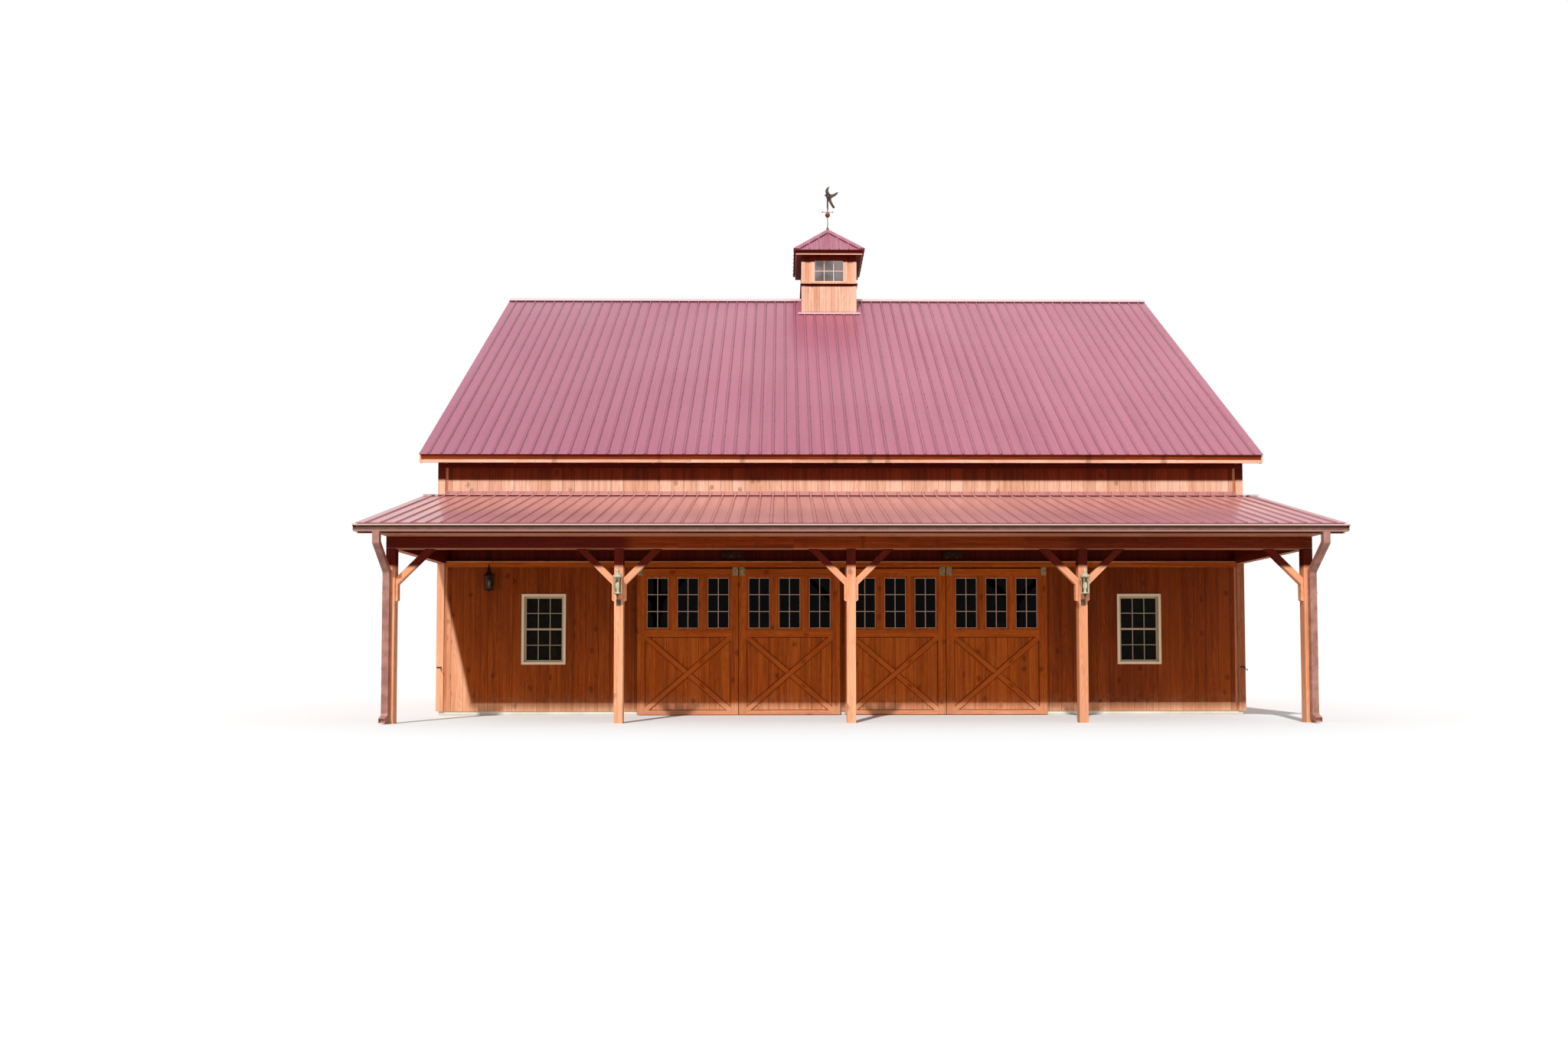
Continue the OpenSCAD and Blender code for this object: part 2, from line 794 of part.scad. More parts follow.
module rake_boards() {
  rafter_reach = corner_post_x + post_side / 2;
  color([0.66, 0.32, 0.17]) on_site() {
    for (x0 = [-roof_half_l, deck_half_l]) {
      rake_board(x0);
      to_front() rake_board(x0);
      to_front() porch_rake_board(x0);
    }
    for (x0 = [-rafter_reach, rafter_reach - siding_t]) to_front() porch_end_board(x0);
  }
}

// Flashings: ridge caps, the cupola's apron and the porch roof's head flashing

// Folded sheet over the ridge, on top of the ribs, from x0 to x1
module ridge_fold(x0, x1, wing) {
  foot = (rib_h + 0.5) / main_cos;
  skin = flashing_t / main_cos;
  reach = wing * main_cos;
  along(x0, x1)
    polygon([
      [-reach, main_pan(reach) + foot],
      [0, main_pan(0) + foot],
      [reach, main_pan(reach) + foot],
      [reach, main_pan(reach) + foot + skin],
      [0, main_pan(0) + foot + skin],
      [-reach, main_pan(reach) + foot + skin]
    ]);
}

module head_flashing() {
  top = porch_pan(porch_in) + rib_h / porch_cos + 0.5;
  wall_reach = half_l + trim_t - corner_board_w;
  low = porch_in + 110;
  drop = porch_pan(porch_in) - porch_pan(low);
  along(-roof_half_l, roof_half_l)
    polygon([
      [porch_in, top], [low, top - drop], [low, top - drop + flashing_t], [porch_in, top + flashing_t]
    ]);
  along(-wall_reach, wall_reach)
    polygon([
      [half_d, top], [porch_in, top], [porch_in, top + flashing_t],
      [half_d + flashing_t, top + flashing_t], [half_d + flashing_t, top + 60], [half_d, top + 60]
    ]);
}

// The two wings of a hip cap that lie on the cupola roof's side towards +Y
module hip_wings() {
  wing = hip_cap_w * sqrt(1 + cupola_cos * cupola_cos);
  reach = cupola_half + 4;
  intersection() {
    along(-reach, reach)
      polygon([
        [0, cupola_pan(0) + cap_foot],
        [reach, cupola_pan(reach) + cap_foot],
        [reach, cupola_pan(reach) + cap_top],
        [0, cupola_pan(0) + cap_top]
      ]);
    translate([0, 0, cupola_top]) linear_extrude(cupola_rise + cupola_edge_h + 200)
      polygon([[0, 0], [reach, reach], [reach - wing, reach], [0, wing], [wing - reach, reach], [-reach, reach]]);
  }
}

module roof_flashings() {
  apron_half = cupola_out + apron_w;
  color(roofing_color) on_site() {
    ridge_fold(-roof_half_l, -apron_half, ridge_cap_w);
    ridge_fold(apron_half, roof_half_l, ridge_cap_w);
    difference() {
      ridge_fold(-apron_half, apron_half, apron_half / main_cos);
      translate([0, 0, ridge_z])
        cube([2 * cupola_out + 2, 2 * cupola_out + 2, 4 * cupola_w], center = true);
    }
    on_four_sides() hip_wings();
    to_front() head_flashing();
  }
}

// Porch

module porch_posts() {
  color([0.68, 0.35, 0.20]) on_site()
    for (x = post_xs)
      block([x - post_side / 2, -post_face, 0], [x + post_side / 2, -post_face + post_side, beam_z]);
}

// A brace and its pad on the +X side of a post, with the post's face at x = 0
module knee_brace() {
  across = brace_w * sqrt(2);
  translate([0, -post_face + (post_side + brace_t) / 2, 0]) rotate([90, 0, 0]) linear_extrude(brace_t) {
    polygon([
      [0, beam_z - brace_leg],
      [brace_leg, beam_z],
      [brace_leg - across, beam_z],
      [0, beam_z - brace_leg + across]
    ]);
    polygon([
      [0, beam_z - brace_leg],
      [0, beam_z - brace_leg - pad_h],
      [pad_out / 2, beam_z - brace_leg - pad_h],
      [pad_out, beam_z - brace_leg - pad_h + pad_out / 2],
      [pad_out, beam_z - brace_leg + pad_out]
    ]);
  }
}

module knee_braces() {
  color([0.72, 0.38, 0.22]) on_site() {
    for (x = [-corner_post_x, -bay_w, 0, bay_w]) translate([x + post_side / 2, 0, 0]) knee_brace();
    for (x = [-bay_w, 0, bay_w, corner_post_x]) translate([x - post_side / 2, 0, 0]) mirror([1, 0, 0]) knee_brace();
  }
}

module porch_beams() {
  ledger_top = porch_deck(half_d + ledger_t) - seat;
  ledger_reach = half_l + trim_t - corner_board_w - 10;
  color([0.60, 0.28, 0.15]) on_site() {
    to_front() block([-ledger_reach, half_d, ledger_top - ledger_h], [ledger_reach, half_d + ledger_t, ledger_top]);
    to_front() along(-corner_post_x - post_side / 2, corner_post_x + post_side / 2)
      polygon([
        [post_face - post_side, beam_z],
        [post_face - beam_chamfer, beam_z],
        [post_face, beam_z + beam_chamfer],
        [post_face, beam_top],
        [post_face - post_side, beam_top]
      ]);
    for (side = [-1, 1])
      translate([side * corner_post_x, 0, 0])
        block([-post_side / 2, -post_face + post_side, beam_z], [post_side / 2, -half_d - trim_t, beam_top]);
  }
}

module porch_rafter_outline() {
  seat_in = porch_rafter_at(beam_top);
  tail_out = porch_rafter_at(porch_tail_z);
  top_in = half_d + ledger_t;
  polygon([
    [top_in, porch_deck(top_in)],
    [porch_eave_in, porch_deck(porch_eave_in)],
    [porch_eave_in, porch_tail_z],
    [tail_out, porch_tail_z],
    [post_face, porch_rafter(post_face)],
    [post_face, beam_top],
    [seat_in, beam_top],
    [top_in, porch_rafter(top_in)]
  ]);
}

module porch_roof_frame() {
  rafter_reach = corner_post_x + post_side / 2;
  step = (2 * rafter_reach - rafter_w) / (porch_rafter_n - 1);
  color(timber_color) on_site() to_front() {
    for (i = [0 : porch_rafter_n - 1])
      along(-rafter_reach + i * step, -rafter_reach + i * step + rafter_w) porch_rafter_outline();
    along(-deck_half_l, deck_half_l)
      polygon([
        [porch_in, porch_deck(porch_in)],
        [porch_eave_face, porch_deck(porch_eave_face)],
        [porch_eave_face, porch_deck_top(porch_eave_face)],
        [porch_in, porch_deck_top(porch_in)]
      ]);
  }
}

module porch_roof_metal() {
  color(roofing_color) on_site()
    translate([0, -porch_edge, porch_edge_z])
      ribbed_sheet(porch_pitch, (porch_edge - porch_in) / porch_cos, roof_half_l, rib_n);
}

// Outline of the gutter from the eave board at 0 outwards: floor, lower bead, flat face and the cove under its lip
gutter_outline = [
  for (p = [
    [0, 1], [0, 0], [0.66, 0], [0.74, 0.02], [0.78, 0.07], [0.78, 0.13], [0.75, 0.17], [0.78, 0.21], [0.78, 0.57],
    [0.79, 0.62], [0.82, 0.665], [0.865, 0.69], [0.91, 0.70], [0.93, 0.72], [0.93, 1]
  ]) [p[0] * gutter_d, p[1] * gutter_h]
];

module porch_gutter() {
  reach = roof_half_l + gutter_over;
  lip_in = gutter_d * 0.93;
  lip_h = gutter_h * 0.26;
  color([0.36, 0.20, 0.15]) on_site() to_front() translate([0, porch_eave_face, gutter_z]) {
    difference() {
      along(-reach, reach) polygon(gutter_outline);
      along(-reach + gutter_wall, reach - gutter_wall) {
        offset(delta = -gutter_wall) polygon(gutter_outline);
        translate([gutter_wall, gutter_h / 2]) square([lip_in - 2 * gutter_wall, gutter_h]);
      }
    }
    along(-reach, reach)
      polygon([
        [lip_in, gutter_h - lip_h], [gutter_d - 3, gutter_h - lip_h], [gutter_d, gutter_h - lip_h + 4],
        [gutter_d, gutter_h - 4], [gutter_d - 3, gutter_h], [lip_in, gutter_h]
      ]);
  }
}

// Outline of a downspout's run from the gutter's floor back to the post, down it and out at the shoe
module downspout_outline() {
  out0 = porch_eave_out + gutter_d * 0.1;
  out1 = out0 + spout_d;
  bend_z = gutter_z - 150;
  foot = 20;
  low = foot + spout_d;
  over = 2 * elbow_r;
  corner = spout_d * 0.45;
  mitre = spout_d * tan(22.5);
  intersection() {
    offset(r = -elbow_r, $fn = 40) offset(r = elbow_r + corner, $fn = 40) offset(delta = -corner)
      polygon([
        [out1, gutter_z + over],
        [out1, bend_z - mitre],
        [spout_d, bend_z - out0 - mitre],
        [spout_d, low + 0.4 * spout_d],
        [shoe_reach + over, low - 0.35 * over],
        [shoe_reach + over, foot - 0.28 * over],
        [0, low - 0.4 * spout_d],
        [0, bend_z - out0],
        [out0, bend_z],
        [out0, gutter_z + over]
      ]);
    union() {
      translate([0, low + spout_d]) square([out1, gutter_z - low - spout_d]);
      translate([0, foot]) square([shoe_reach, low + spout_d - foot]);
    }
  }
}

module downspout() {
  out0 = porch_eave_out + gutter_d * 0.1;
  difference() {
    along(-spout_w / 2, spout_w / 2) downspout_outline();
    translate([0, shoe_reach, 20 + spout_d / 2]) cube([spout_w - 8, 70, spout_d - 26], center = true);
  }
  block([-spout_w / 2 - 6, out0 - 6, gutter_z - 16], [spout_w / 2 + 6, out0 + spout_d, gutter_z]);
}

module downspouts() {
  color([0.40, 0.22, 0.17]) on_site() to_front()
    for (side = [-1, 1]) translate([side * spout_x, post_face, 0]) downspout();
}

// Cupola

// The space under the tops of the ribs, which the cupola's foot is cut to
module under_ribs() {
  foot = (rib_h + 0.5) / main_cos;
  along(-cupola_w, cupola_w)
    polygon([
      [-cupola_w, main_pan(cupola_w) + foot],
      [0, main_pan(0) + foot],
      [cupola_w, main_pan(cupola_w) + foot],
      [cupola_w, ridge_z - 3 * cupola_w],
      [-cupola_w, ridge_z - 3 * cupola_w]
    ]);
}

// One side of the cupola, facing +Y: its boards are board_l long and its belt is belt_l long
module cupola_wall(board_l, belt_l) {
  face = cupola_w / 2;
  low = ridge_z - cupola_w;
  light_hole_w = cupola_light_w + 2 * cupola_frame_w;
  light_hole_h = cupola_light_h + 2 * cupola_frame_w;
  difference() {
    union() {
      block([-board_l / 2, face - cupola_wall, low], [board_l / 2, face, cupola_top]);
      block([-belt_l / 2, face, belt_z], [belt_l / 2, face + belt_out, belt_z + belt_h]);
    }
    translate([0, face, cupola_light_z])
      cube([light_hole_w, 4 * cupola_wall, light_hole_h], center = true);
  }
}

module cupola_walls() {
  joint = 0.1;
  color([0.60, 0.28, 0.15]) on_site() difference() {
    union() {
      for (turn = [0, 180]) rotate([0, 0, turn])
        cupola_wall(cupola_w - 2 * joint, cupola_w + 2 * belt_out);
      for (turn = [90, 270]) rotate([0, 0, turn])
        cupola_wall(cupola_w - 2 * cupola_wall - 2 * joint, cupola_w - 2 * joint);
    }
    under_ribs();
  }
}

module cupola_windows() {
  color(frame_color) on_site() on_four_sides()
    translate([0, cupola_w / 2, cupola_light_z]) {
      ring(cupola_light_w, cupola_light_h, cupola_frame_w, -cupola_wall, 0);
      difference() {
        block([-cupola_light_w / 2 - cupola_casing_w, 0, -cupola_light_h / 2 - cupola_frame_w],
              [cupola_light_w / 2 + cupola_casing_w, cupola_trim_t, cupola_light_h / 2 + cupola_light_drop - 2]);
        cube([cupola_light_w, 4 * cupola_trim_t, cupola_light_h], center = true);
      }
    }
}

module cupola_roof() {
  reach = cupola_half + 100;
  color(roofing_color) on_site() on_four_sides() intersection() {
    to_front() translate([0, -cupola_half, cupola_edge_z])
      ribbed_sheet(atan(cupola_tan), cupola_half / cupola_cos - 12, cupola_half, cupola_rib_n);
    translate([0, 0, cupola_top]) linear_extrude(cupola_rise + cupola_edge_h + 100)
      polygon([[0, seat], [reach - seat, reach], [seat - reach, reach]]);
  }
}

// Rod, ball and crossed arms over the cupola

module finial_rod() {
  collar_deep = 50;
  cone = 2 * collar_deep;
  caps = cap_top + 4 * seat;
  color([0.72, 0.45, 0.30]) on_site() translate([0, 0, peak_z]) {
    difference() {
      union() {
        translate([0, 0, caps - collar_deep]) cylinder(r = 30, h = collar_deep + 12, $fn = 32);
        translate([0, 0, caps + 12]) cylinder(r1 = 30, r2 = rod_r, h = 26, $fn = 32);
        cylinder(r = rod_r, h = rod_h, $fn = 32);
        translate([0, 0, ball_up]) sphere(r = ball_r, $fn = 48);
        translate([0, 0, vane_up - 22]) cylinder(r = 20, h = 20, $fn = 32);
      }
      translate([0, 0, caps]) intersection() {
        along(-cone, cone) polygon([[-cone, -cone * cupola_tan], [cone, -cone * cupola_tan], [0, 0]]);
        rotate([0, 0, 90]) along(-cone, cone) polygon([[-cone, -cone * cupola_tan], [cone, -cone * cupola_tan], [0, 0]]);
      }
    }
    for (turn = [0, 90]) rotate([0, 0, turn])
      translate([-arm_reach, 0, arms_up]) rotate([0, 90, 0]) cylinder(r = 6, h = 2 * arm_reach, $fn = 24);
    for (turn = [0, 90, 180, 270]) rotate([0, 0, turn])
      translate([arm_reach, 0, arms_up]) sphere(r = 14, $fn = 24);
  }
}

// An eagle that lands with raised wings, on a sleeve that turns round the rod
module weathervane() {
  sleeve_r = 19;
  sleeve_h = rod_h - vane_up - 15;
  plate = 8;
  color([0.30, 0.20, 0.16]) on_site() translate([0, 0, peak_z + vane_up]) difference() {
    union() {
      cylinder(r = sleeve_r, h = sleeve_h, $fn = 32);
      translate([0, 0, rod_h - vane_up - 320]) {
        translate([0, plate / 2, 0]) rotate([90, 0, 0]) linear_extrude(plate)
          polygon([
            [118, 12], [58, 112], [14, 190], [-22, 240], [-44, 292], [-72, 316], [-66, 334], [-34, 346],
            [-50, 392], [-50, 440], [-24, 486], [14, 520], [50, 532], [26, 478], [18, 418], [44, 362],
            [88, 336], [150, 350], [212, 386], [256, 400], [236, 352], [184, 302], [122, 266], [86, 238],
            [98, 172], [138, 92], [180, 24], [150, 0]
          ]);
        translate([28, 0, 268]) rotate([0, -18, 0]) scale([1, 0.8, 2.6]) sphere(r = 28, $fn = 28);
      }
    }
    translate([0, 0, -1]) cylinder(r = rod_r + vane_clear, h = rod_h - vane_up + 6, $fn = 32);
  }
}

// Lanterns, made facing +Y on a wall or post face at y = 0, with the glass's middle at z = 0

// Six-sided frame round a lantern's glass, with its floor and its top plate
module lantern_cage(r, glass_h) {
  half = glass_h / 2;
  translate([0, 0, -half - 18]) cylinder(r = r, h = 18, $fn = 6);
  translate([0, 0, half]) cylinder(r = r, h = 14, $fn = 6);
  for (turn = [0 : 60 : 300]) rotate([0, 0, turn])
    translate([r - 8, 0, 0]) cube([8, 8, glass_h + 2], center = true);
}

// A lantern with a domed cap that stands on a curved arm
module post_lantern() {
  r = lantern_r;
  half = lantern_glass_h / 2;
  bend = lantern_arm - 10;
  foot = -half - 46;
  block([-34, 0, foot - bend - 46], [34, 10, foot - bend + 46]);
  translate([0, 10, foot]) rotate([0, 90, 0]) rotate_extrude(angle = 90, $fn = 48)
    translate([bend, 0]) circle(r = 7, $fn = 12);
  translate([0, lantern_arm, 0]) {
    lantern_cage(r, lantern_glass_h);
    rotate_extrude($fn = 36)
      polygon([
        [0, half + 13], [r + 12, half + 13], [r + 12, half + 20], [r, half + 36], [r * 0.8, half + 52], [r * 0.5, half + 66],
        [r * 0.34, half + 70], [r * 0.34, half + 104], [r * 0.52, half + 108], [r * 0.46, half + 122],
        [r * 0.18, half + 138], [r * 0.12, half + 146], [r * 0.2, half + 156], [r * 0.12, half + 168], [0, half + 174]
      ]);
    rotate_extrude($fn = 36)
      polygon([
        [0, -half - 17], [r * 0.6, -half - 17], [r * 0.34, -half - 34], [r * 0.2, -half - 42], [r * 0.26, -half - 52],
        [r * 0.2, -half - 60], [0, -half - 66]
      ]);
  }
}

// A lantern with a pointed roof on an arm over its back
module wall_lantern() {
  r = wall_lantern_r;
  half = wall_lantern_glass / 2;
  block([-45, 0, -half * 0.5], [45, 12, half + 40]);
  block([-10, 12, half + 4], [10, wall_lantern_arm, half + 20]);
  translate([0, wall_lantern_arm, 0]) rotate([0, 0, 30]) {
    lantern_cage(r, wall_lantern_glass);
    rotate_extrude($fn = 6)
      polygon([
        [0, half + 13], [r + 14, half + 13], [r + 14, half + 18], [r * 0.68, half + 50], [r * 0.4, half + 92],
        [r * 0.16, half + 122], [r * 0.08, half + 141], [0, half + 144]
      ]);
    rotate_extrude($fn = 24)
      polygon([[0, -half - 17], [r * 0.5, -half - 17], [r * 0.24, -half - 30], [r * 0.1, -half - 42], [0, -half - 44]]);
  }
}

// A flat lamp on the wall, facing -Y, with a hood over a slanted lens
module door_lamp() {
  translate([-door_lamp_w / 2, 0, 0]) rotate([90, 0, 90]) linear_extrude(door_lamp_w)
    polygon([[0, 0], [-60, 0], [-130, 70], [-150, 70], [-150, 130], [0, 130]]);
}

module lantern_pane(arm, r, glass_h, turn) {
  translate([0, arm, -glass_h / 2]) rotate([0, 0, turn]) difference() {
    cylinder(r = r - 13, h = glass_h, $fn = 6);
    translate([0, 0, 5]) cylinder(r = r - 18, h = glass_h - 10, $fn = 6);
  }
}

lantern_arm = 110;
wall_lantern_arm = 125;
wall_lantern_r = 84;
wall_lantern_glass = 230;

module at_post_lanterns() {
  for (side = [-1, 1])
    translate([side * bay_w, -post_face, post_lantern_z]) rotate([0, 0, 180]) children();
}

module at_wall_lantern() {
  translate([-wall_lantern_x, -half_d, wall_lantern_z]) rotate([0, 0, 180]) children();
}

module post_lanterns() {
  color([0.75, 0.73, 0.66]) on_site() at_post_lanterns() post_lantern();
}

module wall_lights() {
  color([0.16, 0.13, 0.12]) on_site() {
    at_wall_lantern() wall_lantern();
    for (side = [-1, 1])
      translate([side * door_lamp_x, -half_d, door_lamp_z]) door_lamp();
  }
}

// Fixed glass: the sheets in the windows, the cupola and the lanterns

module fixed_glass() {
  color([0.20, 0.24, 0.27, 0.5]) on_site() {
    at_front_windows() window_pane();
    at_back_windows() window_pane();
    at_side_windows() window_pane();
    on_four_sides() translate([0, cupola_w / 2 - cupola_wall / 2, cupola_light_z])
      cube([cupola_light_w, glass_t, cupola_light_h], center = true);
    at_post_lanterns() lantern_pane(lantern_arm, lantern_r, lantern_glass_h, 0);
    at_wall_lantern() lantern_pane(wall_lantern_arm, wall_lantern_r, wall_lantern_glass, 30);
  }
}

// Door track and its cover, made facing +Y and turned to the front

module door_track() {
  reach = cover_reach - cover_t - 5;
  step = 2 * (reach - 120) / (rail_block_n - 1);
  color([0.30, 0.30, 0.30]) on_site() to_front() translate([0, half_d, 0]) {
    block([-reach, track_y - rail_t / 2, rail_z], [reach, track_y + rail_t / 2, rail_top]);
    for (i = [0 : rail_block_n - 1])
      translate([-reach + 120 + i * step, 0, 0])
        block([-20, 0, rail_z + 2], [20, track_y - rail_t / 2, rail_top - 12]);
  }
}

module door_track_cover() {
  reach = cover_reach;
  color([0.62, 0.27, 0.13]) on_site() to_front() translate([0, half_d, 0]) {
    block([-reach, cover_front, cover_z], [reach, cover_front + cover_t, cover_z + cover_h]);
    block([-reach, 0, cover_z + cover_h - cover_t], [reach, cover_front, cover_z + cover_h]);
    for (side = [-1, 1])
      translate([side * (reach - cover_t / 2), 0, 0])
        block([-cover_t / 2, 0, cover_z], [cover_t / 2, cover_front, cover_z + cover_h]);
  }
}

// Sliding leaves, made facing +Y with the wall boards' face at y = 0 and the left edge at x = 0

// Places the lights of a leaf: their lower left corners
module at_leaf_lights() {
  for (i = [0 : 2])
    translate([stile_w + leaf_sash_w + i * (leaf_sash_out + mullion_w), 0, light_z]) children();
}

module crossed_braces() {
  zone_w = leaf_w - 2 * stile_w;
  zone_h = mid_rail_z - cross_z;
  turn = atan2(zone_h, zone_w);
  y0 = leaf_off + leaf_panel_t;
  intersection() {
    block([stile_w, y0, cross_z], [leaf_w - stile_w, y0 + leaf_frame_t, mid_rail_z]);
    translate([leaf_w / 2, y0 + leaf_frame_t / 2, (cross_z + mid_rail_z) / 2])
      for (sign = [-1, 1])
        rotate([0, sign * turn, 0]) cube([2 * zone_w, leaf_frame_t, cross_w], center = true);
  }
}

module hanger(x) {
  front = leaf_off + leaf_t;
  translate([x, 0, 0]) {
    block([-strap_w / 2, front, leaf_top - strap_drop], [strap_w / 2, front + strap_t, wheel_z + 12]);
    translate([0, front + strap_t, wheel_z]) rotate([90, 0, 0])
      cylinder(r = axle_r, h = front + strap_t - track_y - wheel_w / 2 + 6, $fn = 24);
    translate([0, track_y, wheel_z]) rotate([90, 0, 0]) rotate_extrude($fn = 48)
      polygon([
        [0, -wheel_w / 2], [wheel_r, -wheel_w / 2], [wheel_r, -rail_t / 2 - 1], [wheel_r - groove, -rail_t / 2 - 1],
        [wheel_r - groove, rail_t / 2 + 1], [wheel_r, rail_t / 2 + 1], [wheel_r, wheel_w / 2], [0, wheel_w / 2]
      ]);
  }
}

module leaf() {
  y0 = leaf_off;
  y1 = leaf_off + leaf_panel_t;
  y2 = leaf_off + leaf_t;
  difference() {
    block([0, y0, leaf_foot], [leaf_w, y1, leaf_top]);
    at_leaf_lights() block([0, y0 - 1, 0], [leaf_light_w, y1 + 1, leaf_light_h]);
  }
  for (x = [0, leaf_w - stile_w])
    block([x, y1, leaf_foot], [x + stile_w, y2, leaf_top]);
  for (i = [1 : 2])
    translate([stile_w + i * (leaf_sash_out + mullion_w) - mullion_w, 0, 0])
      block([0, y1, mid_rail_z], [mullion_w, y2, leaf_top]);
  at_leaf_lights() difference() {
    block([-leaf_sash_w, y1, -leaf_sash_w],
          [leaf_light_w + leaf_sash_w, y2 - leaf_sash_back, leaf_light_h + leaf_sash_w]);
    block([0, y0, 0], [leaf_light_w, y2, leaf_light_h]);
  }
  block([0, y1, leaf_top - top_rail_h], [leaf_w, y2, leaf_top]);
  block([0, y1, mid_rail_z], [leaf_w, y2, mid_rail_top]);
  block([0, y1, leaf_foot], [leaf_w, y2, cross_z]);
  crossed_braces();
  for (x = [strap_x, leaf_w - strap_x]) hanger(x);
}

module leaf_panes() {
  at_leaf_lights()
    block([0, leaf_glass_y - glass_t / 2, 0], [leaf_light_w, leaf_glass_y + glass_t / 2, leaf_light_h]);
}

// Puts a leaf's pieces in place, with the leaf's low X edge at x
module hung_at(x) {
  on_site() translate([x + leaf_w, -half_d, 0]) rotate([0, 0, 180]) children();
}

leaf_color = [0.58, 0.24, 0.12];
pane_color = [0.20, 0.24, 0.27, 0.5];
left_outer_x = -outer_leaf_x - leaf_w;
left_inner_x = -inner_leaf_x - leaf_w;

module left_outer_leaf() {
  color(leaf_color) hung_at(left_outer_x) leaf();
}

module left_inner_leaf() {
  color(leaf_color) hung_at(left_inner_x) leaf();
}

module right_inner_leaf() {
  color(leaf_color) hung_at(inner_leaf_x) leaf();
}

module right_outer_leaf() {
  color(leaf_color) hung_at(outer_leaf_x) leaf();
}

module left_outer_glass() {
  color(pane_color) hung_at(left_outer_x) leaf_panes();
}

module left_inner_glass() {
  color(pane_color) hung_at(left_inner_x) leaf_panes();
}

module right_inner_glass() {
  color(pane_color) hung_at(inner_leaf_x) leaf_panes();
}

module right_outer_glass() {
  color(pane_color) hung_at(outer_leaf_x) leaf_panes();
}

foundation();
front_wall_left();
front_wall_middle();
front_wall_right();
front_wall_upper();
back_wall();
left_gable_wall();
right_gable_wall();
wall_trim();
front_windows();
back_windows();
side_windows();
fixed_glass();
roof_beams();
front_roof_frame();
back_roof_frame();
front_roof_metal();
back_roof_metal();
eave_boards();
rake_boards();
roof_flashings();
porch_posts();
knee_braces();
porch_beams();
porch_roof_frame();
porch_roof_metal();
porch_gutter();
downspouts();
cupola_walls();
cupola_windows();
cupola_roof();
finial_rod();
weathervane();
post_lanterns();
wall_lights();
door_track();
door_track_cover();
left_outer_leaf();
left_inner_leaf();
right_inner_leaf();
right_outer_leaf();
left_outer_glass();
left_inner_glass();
right_inner_glass();
right_outer_glass();
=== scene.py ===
import math

import bpy
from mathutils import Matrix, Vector


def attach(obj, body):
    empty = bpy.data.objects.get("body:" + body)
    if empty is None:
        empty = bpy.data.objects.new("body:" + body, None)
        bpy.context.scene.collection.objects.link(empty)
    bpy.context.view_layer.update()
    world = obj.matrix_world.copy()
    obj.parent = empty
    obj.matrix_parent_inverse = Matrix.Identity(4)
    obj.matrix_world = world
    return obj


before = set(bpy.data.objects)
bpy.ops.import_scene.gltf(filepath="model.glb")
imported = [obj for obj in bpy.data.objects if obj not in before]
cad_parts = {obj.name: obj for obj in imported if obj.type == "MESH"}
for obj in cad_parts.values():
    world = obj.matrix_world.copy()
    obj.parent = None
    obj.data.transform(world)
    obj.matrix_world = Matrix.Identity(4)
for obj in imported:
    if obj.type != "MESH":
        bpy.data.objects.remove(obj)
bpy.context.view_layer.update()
bpy.ops.object.select_all(action="DESELECT")

X, Y, Z = range(3)

# Sizes repeated from the part's source, in metres
MIDDLE_Y = 1.323843
HALF_L = 7.335
HALF_D = 5.5065
FRONT = MIDDLE_Y - HALF_D
BACK = MIDDLE_Y + HALF_D
POST_FRONT = FRONT - 2.46
BAY = 3.658
CORNER_POST = 7.235
SIDES = (-1, 1)

LEAF_W = 1.829
LEAF_TOP = 2.652
STILE = 0.140
LEAF_LIGHT_W = 0.38967
LEAF_LIGHT_H = 0.916
LEAF_LIGHT_Z = 1.575
LEAF_PITCH = 0.54967
LEAF_FOOT_RAIL = 0.0905
LEAF_MIDDLE_RAIL = (1.416, 1.545)
BRACE_W = 0.085
LEAF_FACE_Y = FRONT - 0.083
LEAF_BOARDS_Y = FRONT - 0.0585
LEAF_BOARDS = 8
BOLT_IN = 0.0555
BOLT_ROWS = (LEAF_TOP - 0.092, LEAF_TOP - 0.034)

EAVE_Y = 5.8265
EAVE_Z = 4.696
ROOF_SLOPE = math.radians(40.4)
PORCH_EAVE_Y = 8.4265
PORCH_EAVE_Z = 3.091
PORCH_SLOPE = math.radians(17.4)
RIB_GAP = 0.2286
RIBS = 66
SHEET_W = 4 * RIB_GAP

BOARD_W = 0.2217
CUPOLA_BOARD_W = 0.14
WINDOW_X = 5.42
WINDOW_Z = 1.56
WINDOW_PANE = (0.64, 0.5425)
WINDOW_PITCH = 0.5775
CUPOLA_PANE = (0.66, 0.494)
CUPOLA_PANE_Z = 10.118
CUPOLA_SASH_OUT = 0.628
WALL_LANTERN = (-6.385, FRONT - 0.125)
POST_LANTERN_Y = POST_FRONT - 0.110
DOOR_LAMP_X = 2.0
DOOR_LENS = (FRONT - 0.095, 2.873)
HOOK_X = 7.30
SPOUT_X = CORNER_POST + 0.038
SPOUT_BANDS_Z = (0.85, 2.02)

# Heights at which a finish, or the painted light and shade on it, changes, or between which it does
SUN_FOOT = (0.20, 0.24)
BRACKET_TOP = (2.022, 2.030)
POST_SHADE = (2.42, 2.50)
PORCH_SHADE = (2.78, 2.80)
OVER_PORCH = 3.3
EAVE_SHADE = (4.24, 4.31)
EAVE_LINE = (4.604, 4.610)
CUPOLA_Z = 7.0
CAP_FOOT = (9.588, 9.600)
BELT_LINE = (9.738, 9.752)
BELT_FOOT = 9.80
CUPOLA_SHADE = (10.31, 10.34)
CUPOLA_EAVE_LINE = (10.464, 10.470)
